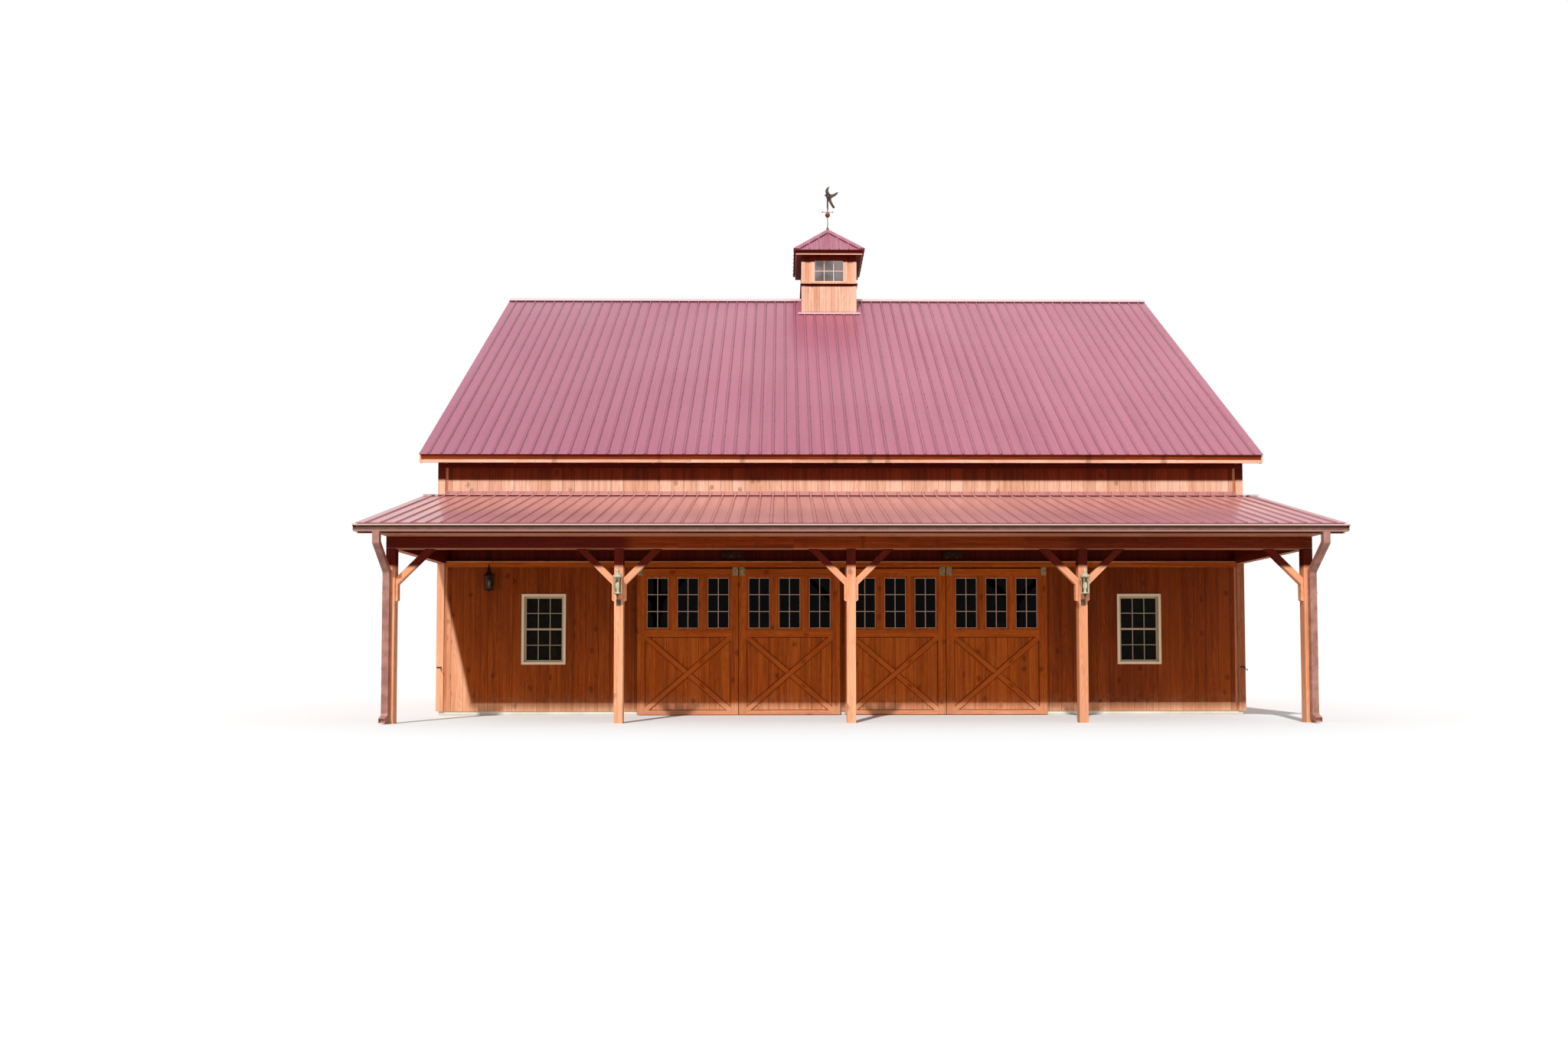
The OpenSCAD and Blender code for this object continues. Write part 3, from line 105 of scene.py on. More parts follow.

# Other places where one does: the slanting edge of the painted sunlight, the wall's right end in painted shade
# and its inner face
SUN_SLANT = 0.236
SUN_END = (-6.70, -6.64)
RIGHT_SHADE = (3.7, 4.2)
ROOM_IN = 0.155

# Each leaf's left edge and the body that it rides on
LEAVES = {
    "left_outer": (-3.715, "left_outer_door"),
    "left_inner": (-1.874, "left_inner_door"),
    "right_inner": (0.045, "right_inner_door"),
    "right_outer": (1.886, "right_outer_door"),
}


def shade(red, green, blue):
    """A colour written as it looks on a screen, 0 to 255."""
    def linear(value):
        value /= 255.0
        return value / 12.92 if value <= 0.04045 else ((value + 0.055) / 1.055) ** 2.4
    return (linear(red), linear(green), linear(blue), 1.0)


# The node tree that the helpers below add to, set by each new group, material or world
tree = None


def wire(value, socket):
    if isinstance(value, bpy.types.NodeSocket):
        tree.links.new(value, socket)
    else:
        socket.default_value = value


def math_node(operation, a, b=0.0):
    node = tree.nodes.new("ShaderNodeMath")
    node.operation = operation
    wire(a, node.inputs[0])
    wire(b, node.inputs[1])
    return node.outputs[0]


def times(a, b):
    return math_node("MULTIPLY", a, b)


def plus(a, b):
    return math_node("ADD", a, b)


def minus(a, b):
    return math_node("SUBTRACT", a, b)


def above(value, limit):
    return math_node("GREATER_THAN", value, limit)


def below(value, limit):
    return math_node("LESS_THAN", value, limit)


def distance(value):
    """How far a value is from 0, on either side."""
    return math_node("ABSOLUTE", value)


def larger(a, b):
    return math_node("MAXIMUM", a, b)


def smaller(a, b):
    return math_node("MINIMUM", a, b)


def ramp(value, low, high, to_low=0.0, to_high=1.0):
    """Runs smoothly from to_low at low to to_high at high."""
    node = tree.nodes.new("ShaderNodeMapRange")
    node.interpolation_type = "SMOOTHSTEP"
    for socket, part in zip(node.inputs, (value, low, high, to_low, to_high)):
        wire(part, socket)
    return node.outputs[0]


def fade(value, low, high, most=1.0):
    """Runs smoothly from most at low to nothing at high."""
    return ramp(value, low, high, most, 0.0)


def mix(mask, first, second):
    """The first colour where the mask is 0 and the second where it is 1."""
    node = tree.nodes.new("ShaderNodeMix")
    node.data_type = "RGBA"
    wire(mask, node.inputs[0])
    wire(first, node.inputs[6])
    wire(second, node.inputs[7])
    return node.outputs[2]


def choose(mask, first, second):
    """The first vector where the mask is 0 and the second where it is 1."""
    node = tree.nodes.new("ShaderNodeMix")
    node.data_type = "VECTOR"
    wire(mask, node.inputs[0])
    wire(first, node.inputs[4])
    wire(second, node.inputs[5])
    return node.outputs[1]


def split_up(vector):
    node = tree.nodes.new("ShaderNodeSeparateXYZ")
    tree.links.new(vector, node.inputs[0])
    return node.outputs


def place():
    """The x, y and z of the point, in the object's own metres."""
    return split_up(tree.nodes.new("ShaderNodeTexCoord").outputs["Object"])


def joined(x, y, z):
    node = tree.nodes.new("ShaderNodeCombineXYZ")
    for socket, part in zip(node.inputs, (x, y, z)):
        wire(part, socket)
    return node.outputs[0]


def stretched(point, across, depth, up):
    """The point with each of its three parts stretched, for a pattern that runs one way."""
    return joined(*(times(part, by) for part, by in zip(point, (across, depth, up))))


def noise(vector, scale, detail, rough):
    node = tree.nodes.new("ShaderNodeTexNoise")
    for label, value in (("Vector", vector), ("Scale", scale), ("Detail", detail), ("Roughness", rough)):
        wire(value, node.inputs[label])
    return node.outputs["Fac"]


def new_group(name, inputs, outputs):
    """A shader node group, in which Place is a vector and all else are numbers."""
    global tree
    tree = bpy.data.node_groups.new(name, "ShaderNodeTree")
    for way, labels in (("INPUT", inputs), ("OUTPUT", outputs)):
        for label in labels:
            kind = "NodeSocketVector" if label == "Place" else "NodeSocketFloat"
            tree.interface.new_socket(label, in_out=way, socket_type=kind)
    return tree, tree.nodes.new("NodeGroupInput").outputs, tree.nodes.new("NodeGroupOutput").inputs


def put(group, **values):
    """Adds a group, with a value for each named input, and gives its outputs."""
    node = tree.nodes.new("ShaderNodeGroup")
    node.node_tree = group
    for label, value in values.items():
        wire(value, node.inputs[label])
    return node.outputs


# Boards side by side: a random value for each board and the groove between two of them
boards, given, out = new_group("Boards", ["Across", "Width", "Groove"], ["Board", "Groove"])
count = math_node("DIVIDE", given["Across"], given["Width"])
draw = boards.nodes.new("ShaderNodeTexWhiteNoise")
draw.noise_dimensions = "1D"
wire(times(math_node("FLOOR", count), 3.713), draw.inputs["W"])
wire(draw.outputs["Value"], out["Board"])
# PINGPONG is 0 at every whole number, which is the middle of a joint
from_edge = times(math_node("PINGPONG", count, 0.5), given["Width"])
wire(fade(from_edge, times(given["Groove"], 0.15), given["Groove"]), out["Groove"])

# Wood, cut along the grain: fine streaks, broad bands, growth lines, knots and pores
wood, given, out = new_group("Wood", ["Across", "Along", "Depth", "Board"],
                             ["Grain", "Bands", "Lines", "Knots", "Pores"])
along = plus(given["Along"], times(given["Board"], 41.0))


def drawn_out(across, lengthways, depth):
    return stretched((given["Across"], along, given["Depth"]), across, lengthways, depth)


wire(noise(drawn_out(38.0, 1.3, 38.0), 1.0, 4.0, 0.6), out["Grain"])
wire(noise(drawn_out(13.0, 0.5, 13.0), 1.0, 3.0, 0.55), out["Bands"])
knot = wood.nodes.new("ShaderNodeTexVoronoi")
knot.voronoi_dimensions = "2D"
wire(drawn_out(2.7, 2.0, 1.0), knot.inputs["Vector"])
wire(1.0, knot.inputs["Scale"])
off_knot = knot.outputs["Distance"]
kept = above(split_up(knot.outputs["Color"])[0], 0.58)
ragged = plus(off_knot, times(noise(drawn_out(26.0, 12.0, 26.0), 1.0, 2.0, 0.5), 0.16))
smudge = times(fade(ragged, 0.12, 0.24), 0.85)
eye = times(fade(off_knot, 0.02, 0.09), 0.9)
wire(times(larger(smudge, eye), kept), out["Knots"])
swirl = times(fade(off_knot, 0.0, 0.34), kept)
rings = plus(times(noise(drawn_out(5.0, 0.55, 5.0), 1.0, 2.0, 0.45), 17.0), times(swirl, 2.2))
wire(fade(math_node("PINGPONG", rings, 0.5), 0.02, 0.34), out["Lines"])
wire(noise(drawn_out(420.0, 14.0, 420.0), 1.0, 2.0, 0.5), out["Pores"])

# Weather: dust and splashes near the ground, water streaks down a face, and broad patches
weather, given, out = new_group("Weather", ["Place"], ["Splash", "Streaks", "Patches"])
wire(noise(given["Place"], 0.9, 3.0, 0.6), out["Patches"])
point = split_up(given["Place"])
drops = ramp(noise(given["Place"], 9.0, 4.0, 0.65), 0.35, 0.65)
wire(times(fade(point[Z], 0.02, 0.50), drops), out["Splash"])
falling = stretched(point, 9.0, 9.0, 0.35)
wire(ramp(noise(falling, 1.0, 3.0, 0.6), 0.45, 0.75), out["Streaks"])

# Fine unevenness of a painted or rolled surface
film, given, out = new_group("Film", ["Place", "Size"], ["Height", "Spots"])
wire(noise(given["Place"], given["Size"], 3.0, 0.5), out["Height"])
spots = noise(given["Place"], times(given["Size"], 0.12), 5.0, 0.5)
wire(ramp(spots, 0.52, 0.72), out["Spots"])


def shader_of(finish):
    """The finish's own shader."""
    return finish.node_tree.nodes["Principled BSDF"]


def new_material(name, roughness=0.5):
    """A new finish and its shader, with its node tree the one at work."""
    global tree
    finish = bpy.data.materials.new(name)
    finish.use_nodes = True
    tree = finish.node_tree
    shader = shader_of(finish)
    shader.inputs["Roughness"].default_value = roughness
    return finish, shader


def painted_over(finish, mask, tone):
    """Lays a tone over the colour of the finish at work, as far as the mask says."""
    base = shader_of(finish).inputs["Base Color"]
    wire(mix(mask, base.links[0].from_socket, tone), base)


def bump(shader, height):
    """Raises the surface by a height in metres."""
    node = tree.nodes.new("ShaderNodeBump")
    wire(1.0, node.inputs["Distance"])
    wire(height, node.inputs["Height"])
    wire(node.outputs["Normal"], shader.inputs["Normal"])


# Stained wood: dark, middle and light colours of each state of the stain. The porch's, deep and darkest ones are
# darkened with painted shade, and the lit and bleached ones are lightened with painted light
PORCH_STAIN_IN_PAINTED_SHADE = (shade(88, 26, 0), shade(152, 59, 2), shade(178, 82, 18))
DOOR_STAIN = (shade(118, 44, 2), shade(198, 84, 10), shade(222, 112, 34))
DEEP_PAINTED_SHADE = (shade(68, 16, 0), shade(134, 46, 2), shade(158, 66, 14))
DARKEST_PAINTED_SHADE = (shade(40, 2, 0), shade(90, 14, 0), shade(114, 28, 6))
OPEN_STAIN = (shade(138, 72, 42), shade(200, 120, 78), shade(222, 150, 110))
PAINTED_LIT_STAIN = (shade(190, 108, 66), shade(247, 166, 118), shade(255, 190, 150))
BLEACHED_AND_PAINTED_LIT = (shade(192, 124, 90), shade(240, 182, 150), shade(252, 210, 186))
RAW = (shade(150, 104, 62), shade(196, 152, 104), shade(214, 176, 130))


def blended(mask, first, second):
    """One stain's three colours where the mask is 0 and the other's where it is 1."""
    return [mix(mask, one, other) for one, other in zip(first, second)]


def stained(shader, across, along, depth, board, groove, palette, worn=1.0):
    """Stained wood: palette holds its dark, middle and light colours, groove the joints and the painted shade of
    crevices.
    """
    dark, middle, light = palette
    grain = put(wood, Across=across, Along=along, Depth=depth, Board=board)
    spoilt = put(weather, Place=joined(*place()))
    tone = mix(ramp(grain["Grain"], 0.32, 0.72), middle, light)
    tone = mix(fade(grain["Bands"], 0.34, 0.60, 0.44), tone, dark)
    tone = mix(times(grain["Lines"], 0.26), tone, dark)
    tone = mix(times(ramp(grain["Pores"], 0.55, 0.75), 0.22), tone, dark)
    tone = mix(fade(board, 0.0, 0.6, 0.34), tone, dark)
    tone = mix(ramp(board, 0.5, 1.0, 0.0, 0.42), tone, light)
    tone = mix(times(grain["Knots"], 0.66), tone, mix(0.55, dark, shade(58, 18, 4)))
    tone = mix(times(spoilt["Streaks"], 0.12 * worn), tone, dark)
    tone = mix(times(spoilt["Splash"], 0.30 * worn), tone, shade(196, 164, 134))
    tone = mix(ramp(spoilt["Patches"], 0.4, 0.7, 0.0, 0.14), tone, light)
    tone = mix(times(groove, 0.80), tone, mix(0.6, dark, shade(34, 12, 6)))
    wire(tone, shader.inputs["Base Color"])
    wire(ramp(grain["Grain"], 0.2, 0.8, 0.50, 0.68), shader.inputs["Roughness"])
    rise = times(grain["Grain"], 0.0007)
    rise = minus(rise, times(grain["Lines"], 0.0003))
    rise = minus(rise, times(groove, 0.0035))
    bump(shader, rise)


def wooden(name):
    finish, shader = new_material(name)
    shader.inputs["Specular IOR Level"].default_value = 0.12
    return finish, shader


def sun_reach(point):
    """1 where the sun gets in under the porch: at the foot of the front wall and at its left end."""
    left_end = fade(plus(point[X], times(point[Z], SUN_SLANT)), *SUN_END)
    return larger(fade(point[Z], *SUN_FOOT), left_end)


def within_walls(point, margin):
    """1 on what lies further than the margin behind the outer faces of the walls."""
    between_gables = below(distance(point[X]), HALF_L - margin)
    behind_front = above(point[Y], FRONT + margin)
    return times(between_gables, times(behind_front, below(point[Y], BACK - margin)))


def wall_boards(name, across):
    """Upright tongued boards outside, raw wood inside the room, with painted sunlight and painted shade on the
    front wall.
    """
    finish, shader = wooden(name)
    point = place()
    laid = put(boards, Across=point[across], Width=BOARD_W, Groove=0.006)
    palette = OPEN_STAIN
    if across == X:
        # Under the porch the front wall is lighter towards the foot, with painted shade at its right end and
        # above the track cover, and painted sunlight at its foot and left end; over the porch roof painted light
        # reaches up to the eave's shadow line, with painted shade above it
        front_light_and_shade = blended(fade(point[Z], 0.2, 2.0, 0.42), PORCH_STAIN_IN_PAINTED_SHADE, DOOR_STAIN)
        front_light_and_shade = blended(ramp(point[X], *RIGHT_SHADE, 0.0, 0.30), front_light_and_shade, DARKEST_PAINTED_SHADE)
        front_light_and_shade = blended(sun_reach(point), front_light_and_shade, PAINTED_LIT_STAIN)
        front_light_and_shade = blended(ramp(point[Z], *PORCH_SHADE), front_light_and_shade, DARKEST_PAINTED_SHADE)
        lit_over_porch = times(above(point[Z], OVER_PORCH), fade(point[Z], *EAVE_SHADE))
        front_light_and_shade = blended(times(above(point[Z], 4.0), 0.5), front_light_and_shade, DEEP_PAINTED_SHADE)
        front_light_and_shade = blended(lit_over_porch, front_light_and_shade, BLEACHED_AND_PAINTED_LIT)
        palette = blended(below(point[Y], 0.0), OPEN_STAIN, front_light_and_shade)
    palette = blended(within_walls(point, ROOM_IN), palette, RAW)
    stained(shader, point[across], point[Z], point[1 - across], laid["Board"],
            times(laid["Groove"], 0.75), palette)
    return finish


def timber(name, run, colours, cross=None, past=None, worn=1.0):
    """Sawn timber whose grain runs along one axis, or along the cross axis where past is true.

    colours(point) gives its palette, and past(point) a mask.
    """
    finish, shader = wooden(name)
    point = place()

    def laid_along(axis):
        others = [other for other in (X, Y, Z) if other != axis]
        return joined(point[others[0]], point[axis], point[others[1]])

    laid = laid_along(run)
    if past is not None:
        laid = choose(past(point), laid, laid_along(cross))
    across, along, depth = split_up(laid)
    each = tree.nodes.new("ShaderNodeTexWhiteNoise")
    each.noise_dimensions = "2D"
    column, row = math_node("ROUND", times(point[X], 0.55)), math_node("ROUND", times(point[Y], 0.4))
    wire(joined(column, row, 0.0), each.inputs["Vector"])
    board = ramp(each.outputs["Value"], 0.0, 1.0, 0.25, 0.85)
    stained(shader, across, along, depth, board, 0.0, colours(point), worn)
    return finish


def turned_down():
    """1 on faces that look at the ground."""
    normal = tree.nodes.new("ShaderNodeNewGeometry").outputs["Normal"]
    return fade(split_up(normal)[Z], -0.95, -0.5)


def cupola_colours(point, pale=BLEACHED_AND_PAINTED_LIT):
    """Pale boards, with painted shade under the eave and a painted shadow under the belt."""
    belt_shadow = times(below(point[Z], BELT_FOOT + 0.002), ramp(point[Z], *BELT_LINE))
    return blended(larger(belt_shadow, ramp(point[Z], *CUPOLA_SHADE)), pale, DARKEST_PAINTED_SHADE)


# Painted light on the posts below the porch's shadow line, and painted shade above it
def post_colours(point):
    return blended(ramp(point[Z], *POST_SHADE), PAINTED_LIT_STAIN, DARKEST_PAINTED_SHADE)


# Beam fronts in painted shade, darkest over the outer bays, with painted light on their undersides
def beam_colours(point):
    left_bay_shade = fade(point[X], -BAY, 0.3 - BAY)
    right_bay_shade = ramp(point[X], BAY - 0.3, BAY, 0.0, 0.6)
    front = blended(larger(left_bay_shade, right_bay_shade), DEEP_PAINTED_SHADE, DARKEST_PAINTED_SHADE)
    return blended(times(turned_down(), 0.5), front, PAINTED_LIT_STAIN)


def trim_colours(point):
    """Corner boards in painted sunlight, the right end under the porch in painted shade above the sun's reach,
    the frieze in the eave's painted shade, and the cupola's pale boards with their painted shade.
    """
    corners = blended(above(point[Z], OVER_PORCH), PAINTED_LIT_STAIN, BLEACHED_AND_PAINTED_LIT)
    shaded_end = times(above(point[X], 0.0), below(point[Z], OVER_PORCH))
    half_lit = times(times(shaded_end, ramp(point[Z], *SUN_FOOT)), 0.7)
    corners = blended(half_lit, corners, PORCH_STAIN_IN_PAINTED_SHADE)
    lower = blended(ramp(point[Z], *EAVE_SHADE), corners, DARKEST_PAINTED_SHADE)
    lower = blended(above(point[Y], 0.0), lower, OPEN_STAIN)
    return blended(above(point[Z], CUPOLA_Z), lower, cupola_colours(point))


def off_middle(point):
    """How far the point is out from the middle of the barn, along its depth."""
    return distance(minus(point[Y], MIDDLE_Y))


def eave_colours(point):
    """Eave boards bleached and painted lit below the roofing's shadow line and in painted shade above it, and on
    the porch in painted shade with a painted lit underside; the cupola's fascia likewise.
    """
    facing_down = turned_down()
    lit = times(minus(1.0, facing_down), fade(point[Z], *EAVE_LINE))
    main = blended(lit, DEEP_PAINTED_SHADE, BLEACHED_AND_PAINTED_LIT)
    porch = blended(times(facing_down, 0.62), DARKEST_PAINTED_SHADE, PAINTED_LIT_STAIN)
    outermost = above(larger(distance(point[X]), off_middle(point)), 0.766)
    cupola_lit = times(outermost, fade(point[Z], *CUPOLA_EAVE_LINE))
    cupola = blended(cupola_lit, DARKEST_PAINTED_SHADE, BLEACHED_AND_PAINTED_LIT)
    lower = blended(above(point[Z], 3.6), porch, main)
    return blended(above(point[Z], CUPOLA_Z), lower, cupola)


def cover_colours(point):
    # Painted highlight along the top edge of the track cover
    edge = ramp(point[Z], 2.764, 2.772)
    return blended(times(edge, 0.6), DOOR_STAIN, PAINTED_LIT_STAIN)


# Raw rafters inside the room, and their tails outside in painted shade
def rafter_colours(point):
    outside = larger(below(point[Y], FRONT - 0.02), above(point[Y], BACK))
    return blended(outside, RAW, DEEP_PAINTED_SHADE)


def cupola_boards(name):
    """Upright boards on the four faces of the cupola."""
    finish, shader = wooden(name)
    x, y, z = place()
    from_middle = minus(y, MIDDLE_Y)
    side_face = above(distance(x), distance(from_middle))
    laid_along = choose(side_face, joined(x, z, y), joined(from_middle, z, x))
    across, along, depth = split_up(laid_along)
    laid = put(boards, Across=plus(across, CUPOLA_BOARD_W / 2), Width=CUPOLA_BOARD_W, Groove=0.004)
    # Painted light on the cupola's boards, stronger above the belt than below it
    pale = blended(ramp(z, BELT_FOOT, BELT_FOOT + 0.02, 0.10, 0.70), BLEACHED_AND_PAINTED_LIT, PAINTED_LIT_STAIN)
    stained(shader, across, along, depth, laid["Board"], times(laid["Groove"], 0.70),
            cupola_colours((x, y, z), pale))
    return finish


def brace_timber(name):
    """Grain along the braces, which rise at 45 degrees away from each post."""
    finish, shader = wooden(name)
    point = place()
    from_post = math_node("PINGPONG", point[X], BAY / 2)
    rise = times(plus(from_post, point[Z]), math.sqrt(0.5))
    side = times(minus(from_post, point[Z]), math.sqrt(0.5))
    stained(shader, side, rise, point[Y], 0.7, 0.0, post_colours(point))
    return finish


def leaf_timber(name, x0):
    """A door leaf with its left edge at x0: a frame, crossed braces, grooved boards behind them, and hangers."""
    finish, shader = wooden(name)
    x, y, z = place()
    from_left = minus(x, x0 + STILE)
    recessed = above(y, LEAF_BOARDS_Y)
    in_frame = minus(1.0, recessed)
    half_w = LEAF_W / 2 - STILE
    foot, head = LEAF_FOOT_RAIL, LEAF_MIDDLE_RAIL[0]
    slope = math.atan2(head - foot, 2 * half_w)
    rise, run = math.sin(slope), math.cos(slope)
    from_middle = minus(from_left, half_w)
    height = minus(z, (foot + head) / 2)

    # Distance from the middle line of each brace, and the way along it
    up_run, up_rise = times(height, run), times(height, rise)
    side_run, side_rise = times(from_middle, run), times(from_middle, rise)
    first = distance(minus(up_run, side_rise))
    second = distance(plus(up_run, side_rise))
    on_first = below(first, BRACE_W / 2)
    brace_laid = choose(on_first, joined(second, minus(side_run, up_rise), y),
                        joined(first, plus(side_run, up_rise), y))
    off_rails = smaller(minus(z, foot), minus(head, z))
    off_stiles = minus(half_w, distance(from_middle))
    in_field = times(above(off_rails, 0.0), above(off_stiles, 0.0))
    braced = times(in_frame, in_field)

    lower_rail = below(z, foot)
    upper_rail = above(z, LEAF_TOP - 0.131)
    middle_rail = times(above(z, head), below(z, LEAF_MIDDLE_RAIL[1]))
    any_rail = larger(larger(lower_rail, upper_rail), middle_rail)
    lying = times(times(any_rail, above(off_stiles, 0.0)), in_frame)
    laid = choose(lying, joined(x, z, y), joined(z, x, y))
    across, along, depth = split_up(choose(braced, laid, brace_laid))

    # Painted shade in the crevices where the boards meet the frame, and a painted highlight on the frame's edges
    off_brace = minus(smaller(first, second), BRACE_W / 2)
    off_frame = smaller(smaller(off_rails, off_stiles), off_brace)
    crevice_shade = times(times(fade(off_frame, 0.004, 0.020), recessed), below(z, head))
    on_edge = fade(distance(minus(first, BRACE_W / 2)), 0.002, 0.006)
    joint = times(braced, times(below(second, BRACE_W / 2), on_edge))
    arris_highlight = times(braced, fade(distance(off_brace), 0.006, 0.016))
    leaf_boards = put(boards, Across=from_left, Width=2 * half_w / LEAF_BOARDS, Groove=0.006)
    board_joints = times(times(leaf_boards["Groove"], recessed), 0.7)
    groove = larger(board_joints, larger(crevice_shade, joint))
    frame_part = plus(times(lying, 0.18), plus(times(braced, 0.22), 0.45))
    board = plus(times(recessed, leaf_boards["Board"]), times(in_frame, frame_part))
    board = larger(board, arris_highlight)
    # Painted sunlight on the leaf's foot
    lit_foot = times(fade(z, *SUN_FOOT), 0.65)
    stained(shader, across, along, depth, board, groove, blended(lit_foot, DOOR_STAIN, PAINTED_LIT_STAIN))

    # Steel in front of the frame and over the leaf
    steel = larger(below(y, LEAF_FACE_Y - 0.0004), above(z, LEAF_TOP + 0.001))
    rubbed = ramp(noise(joined(x, y, z), 30.0, 3.0, 0.6), 0.35, 0.65)
    painted_over(finish, steel, mix(rubbed, shade(140, 118, 86), shade(196, 172, 136)))
    wire(times(steel, 0.35), shader.inputs["Metallic"])
    return finish


def painted_sheet(name):
    """Factory-painted ribbed steel sheets with a side lap at every fourth rib, a painted sheen, a painted shadow
    beside each rib, and a painted reflection of the wall on the porch roof.
    """
    finish, shader = new_material(name)
    shader.inputs["Specular IOR Level"].default_value = 0.5
    shader.inputs["Coat Roughness"].default_value = 0.18
    x, y, z = place()
    point = joined(x, y, z)
    fine = put(film, Place=point, Size=160.0)
    lap = put(boards, Across=plus(x, 3.5 * RIB_GAP), Width=SHEET_W, Groove=0.004)
    wash = noise(stretched((x, y, z), 7.0, 0.25, 0.25), 1.0, 4.0, 0.6)
    broad = noise(point, 0.5, 2.0, 0.5)
    tone = mix(ramp(wash, 0.3, 0.75), shade(166, 86, 108), shade(184, 104, 126))
    tone = mix(ramp(broad, 0.3, 0.7, 0.0, 0.40), tone, shade(178, 94, 116))
    # Painted sheen: the roofing is darker towards its left end
    tone = mix(fade(x, -7.0, 3.0, 0.50), tone, shade(148, 76, 104))
    # The porch roof is pinker, and lighter in its middle
    porch = below(z, 4.2)
    tone = mix(times(porch, 0.8), tone, shade(186, 114, 116))
    middle = fade(distance(plus(x, 0.6)), 1.5, 5.5, 0.45)
    tone = mix(times(porch, middle), tone, shade(224, 158, 146))
    # Painted reflection of the upper wall along the top of the porch roof, short of its ends
    off_ends = fade(distance(x), HALF_L - 0.35, HALF_L + 0.15)
    wall_reflection = times(times(porch, times(ramp(z, 3.28, 3.58), off_ends)), 0.55)
    tone = mix(wall_reflection, tone, shade(220, 150, 136))
    tone = mix(ramp(lap["Board"], 0.0, 1.0, 0.0, 0.16), tone, shade(136, 70, 88))
    # Painted shadow beside each rib
    ribbed = math_node("PINGPONG", plus(x, RIB_GAP / 2), RIB_GAP / 2)
    rib_shadow = fade(distance(minus(ribbed, 0.026)), 0.004, 0.011)
    tone = mix(times(rib_shadow, 0.55), tone, shade(92, 36, 50))
    tone = mix(times(lap["Groove"], 0.7), tone, shade(60, 22, 32))
    tone = mix(times(fine["Spots"], 0.10), tone, shade(196, 160, 160))
    wire(tone, shader.inputs["Base Color"])
    wire(ramp(wash, 0.3, 0.7, 0.30, 0.42), shader.inputs["Roughness"])
    coat = plus(times(porch, 0.20), ramp(broad, 0.3, 0.7, 0.10, 0.32))
    wire(coat, shader.inputs["Coat Weight"])
    dents = times(noise(stretched((x, y, z), 5.0, 1.0, 1.0), 1.1, 1.0, 0.4), 0.004)
    bump(shader, plus(dents, times(fine["Height"], 0.00015)))
    return finish


def flashing_paint(name):
    """Roofing paint, paler on the ridge cap and the cupola's apron, with a painted shadow along the cap's foot.
    """
    finish = painted_sheet(name)
    point = place()
    z = point[Z]
    cap_foot = ramp(z, *CAP_FOOT)
    ridge = times(cap_foot, below(z, BELT_FOOT))
    before_cupola = times(above(off_middle(point), 0.665), below(distance(point[X]), 0.80))
    apron = times(before_cupola, times(above(z, 9.0), below(z, 9.4)))
    # Painted shadow along the foot of the ridge cap
    line = times(above(z, 9.570), minus(1.0, cap_foot))
    painted_over(finish, times(larger(ridge, apron), 0.85), shade(244, 200, 198))
    painted_over(finish, times(line, 0.9), shade(56, 16, 28))
    return finish


def coated_metal(name, dark, light, roughness, metallic, spots, spot_tone):
    """Enamel, bare or patinated metal with fine unevenness and spots of wear, from three screen colours."""
    dark, light, spot_tone = shade(*dark), shade(*light), shade(*spot_tone)
    finish, shader = new_material(name, roughness)
    shader.inputs["Metallic"].default_value = metallic
    point = joined(*place())
    fine = put(film, Place=point, Size=240.0)
    wear = put(weather, Place=point)
    tone = mix(ramp(noise(point, 6.0, 4.0, 0.6), 0.3, 0.7), dark, light)
    tone = mix(times(fine["Spots"], spots), tone, spot_tone)
    tone = mix(times(wear["Streaks"], 0.18), tone, dark)
    wire(tone, shader.inputs["Base Color"])
    rough = ramp(fine["Height"], 0.2, 0.8, roughness - 0.06, roughness + 0.10)
    wire(rough, shader.inputs["Roughness"])
    bump(shader, times(fine["Height"], 0.0002))
    return finish


def gutter_paint(name):
    """Enamel with painted highlights on its upper bead and its lower edge, and a painted shadow under the bead.
    """
    finish = coated_metal(name, (94, 52, 42), (120, 74, 60), 0.36, 0.0, 0.15, (150, 112, 98))
    z = place()[Z]
    # Painted shadow under the upper bead, and painted highlights on the bead and the lower edge
    line = times(ramp(z, 3.012, 3.018), fade(z, 3.040, 3.046))
    bead = larger(ramp(z, 3.040, 3.048), times(fade(z, 2.974, 2.982), 0.6))
    painted_over(finish, times(line, 0.9), shade(44, 14, 6))
    painted_over(finish, times(bead, 0.85), shade(232, 186, 172))
    return finish


def pewter_paint(name):
    """Pale pewter over a dark iron bracket."""
    finish = coated_metal(name, (178, 170, 140), (224, 216, 190), 0.40, 0.15, 0.35, (104, 98, 72))
    painted_over(finish, fade(place()[Z], *BRACKET_TOP, 0.9), shade(58, 34, 24))
    return finish


def cream_paint(name, tone):
    finish, shader = new_material(name, 0.42)
    point = joined(*place())
    fine = put(film, Place=point, Size=90.0)
    wear = put(weather, Place=point)
    colour = mix(times(wear["Streaks"], 0.08), tone, shade(176, 158, 132))
    colour = mix(times(fine["Spots"], 0.08), colour, shade(200, 184, 158))
    wire(colour, shader.inputs["Base Color"])
    wire(ramp(fine["Height"], 0.2, 0.8, 0.36, 0.50), shader.inputs["Roughness"])
    bump(shader, times(fine["Height"], 0.0003))
    return finish


def window_paint(name):
    """Cream casings, and sashes set back in the walls greyer and darker, as painted shade."""
    finish = cream_paint(name, shade(255, 234, 198))
    painted_over(finish, times(within_walls(place(), 0.004), 0.75), shade(176, 142, 104))
    return finish


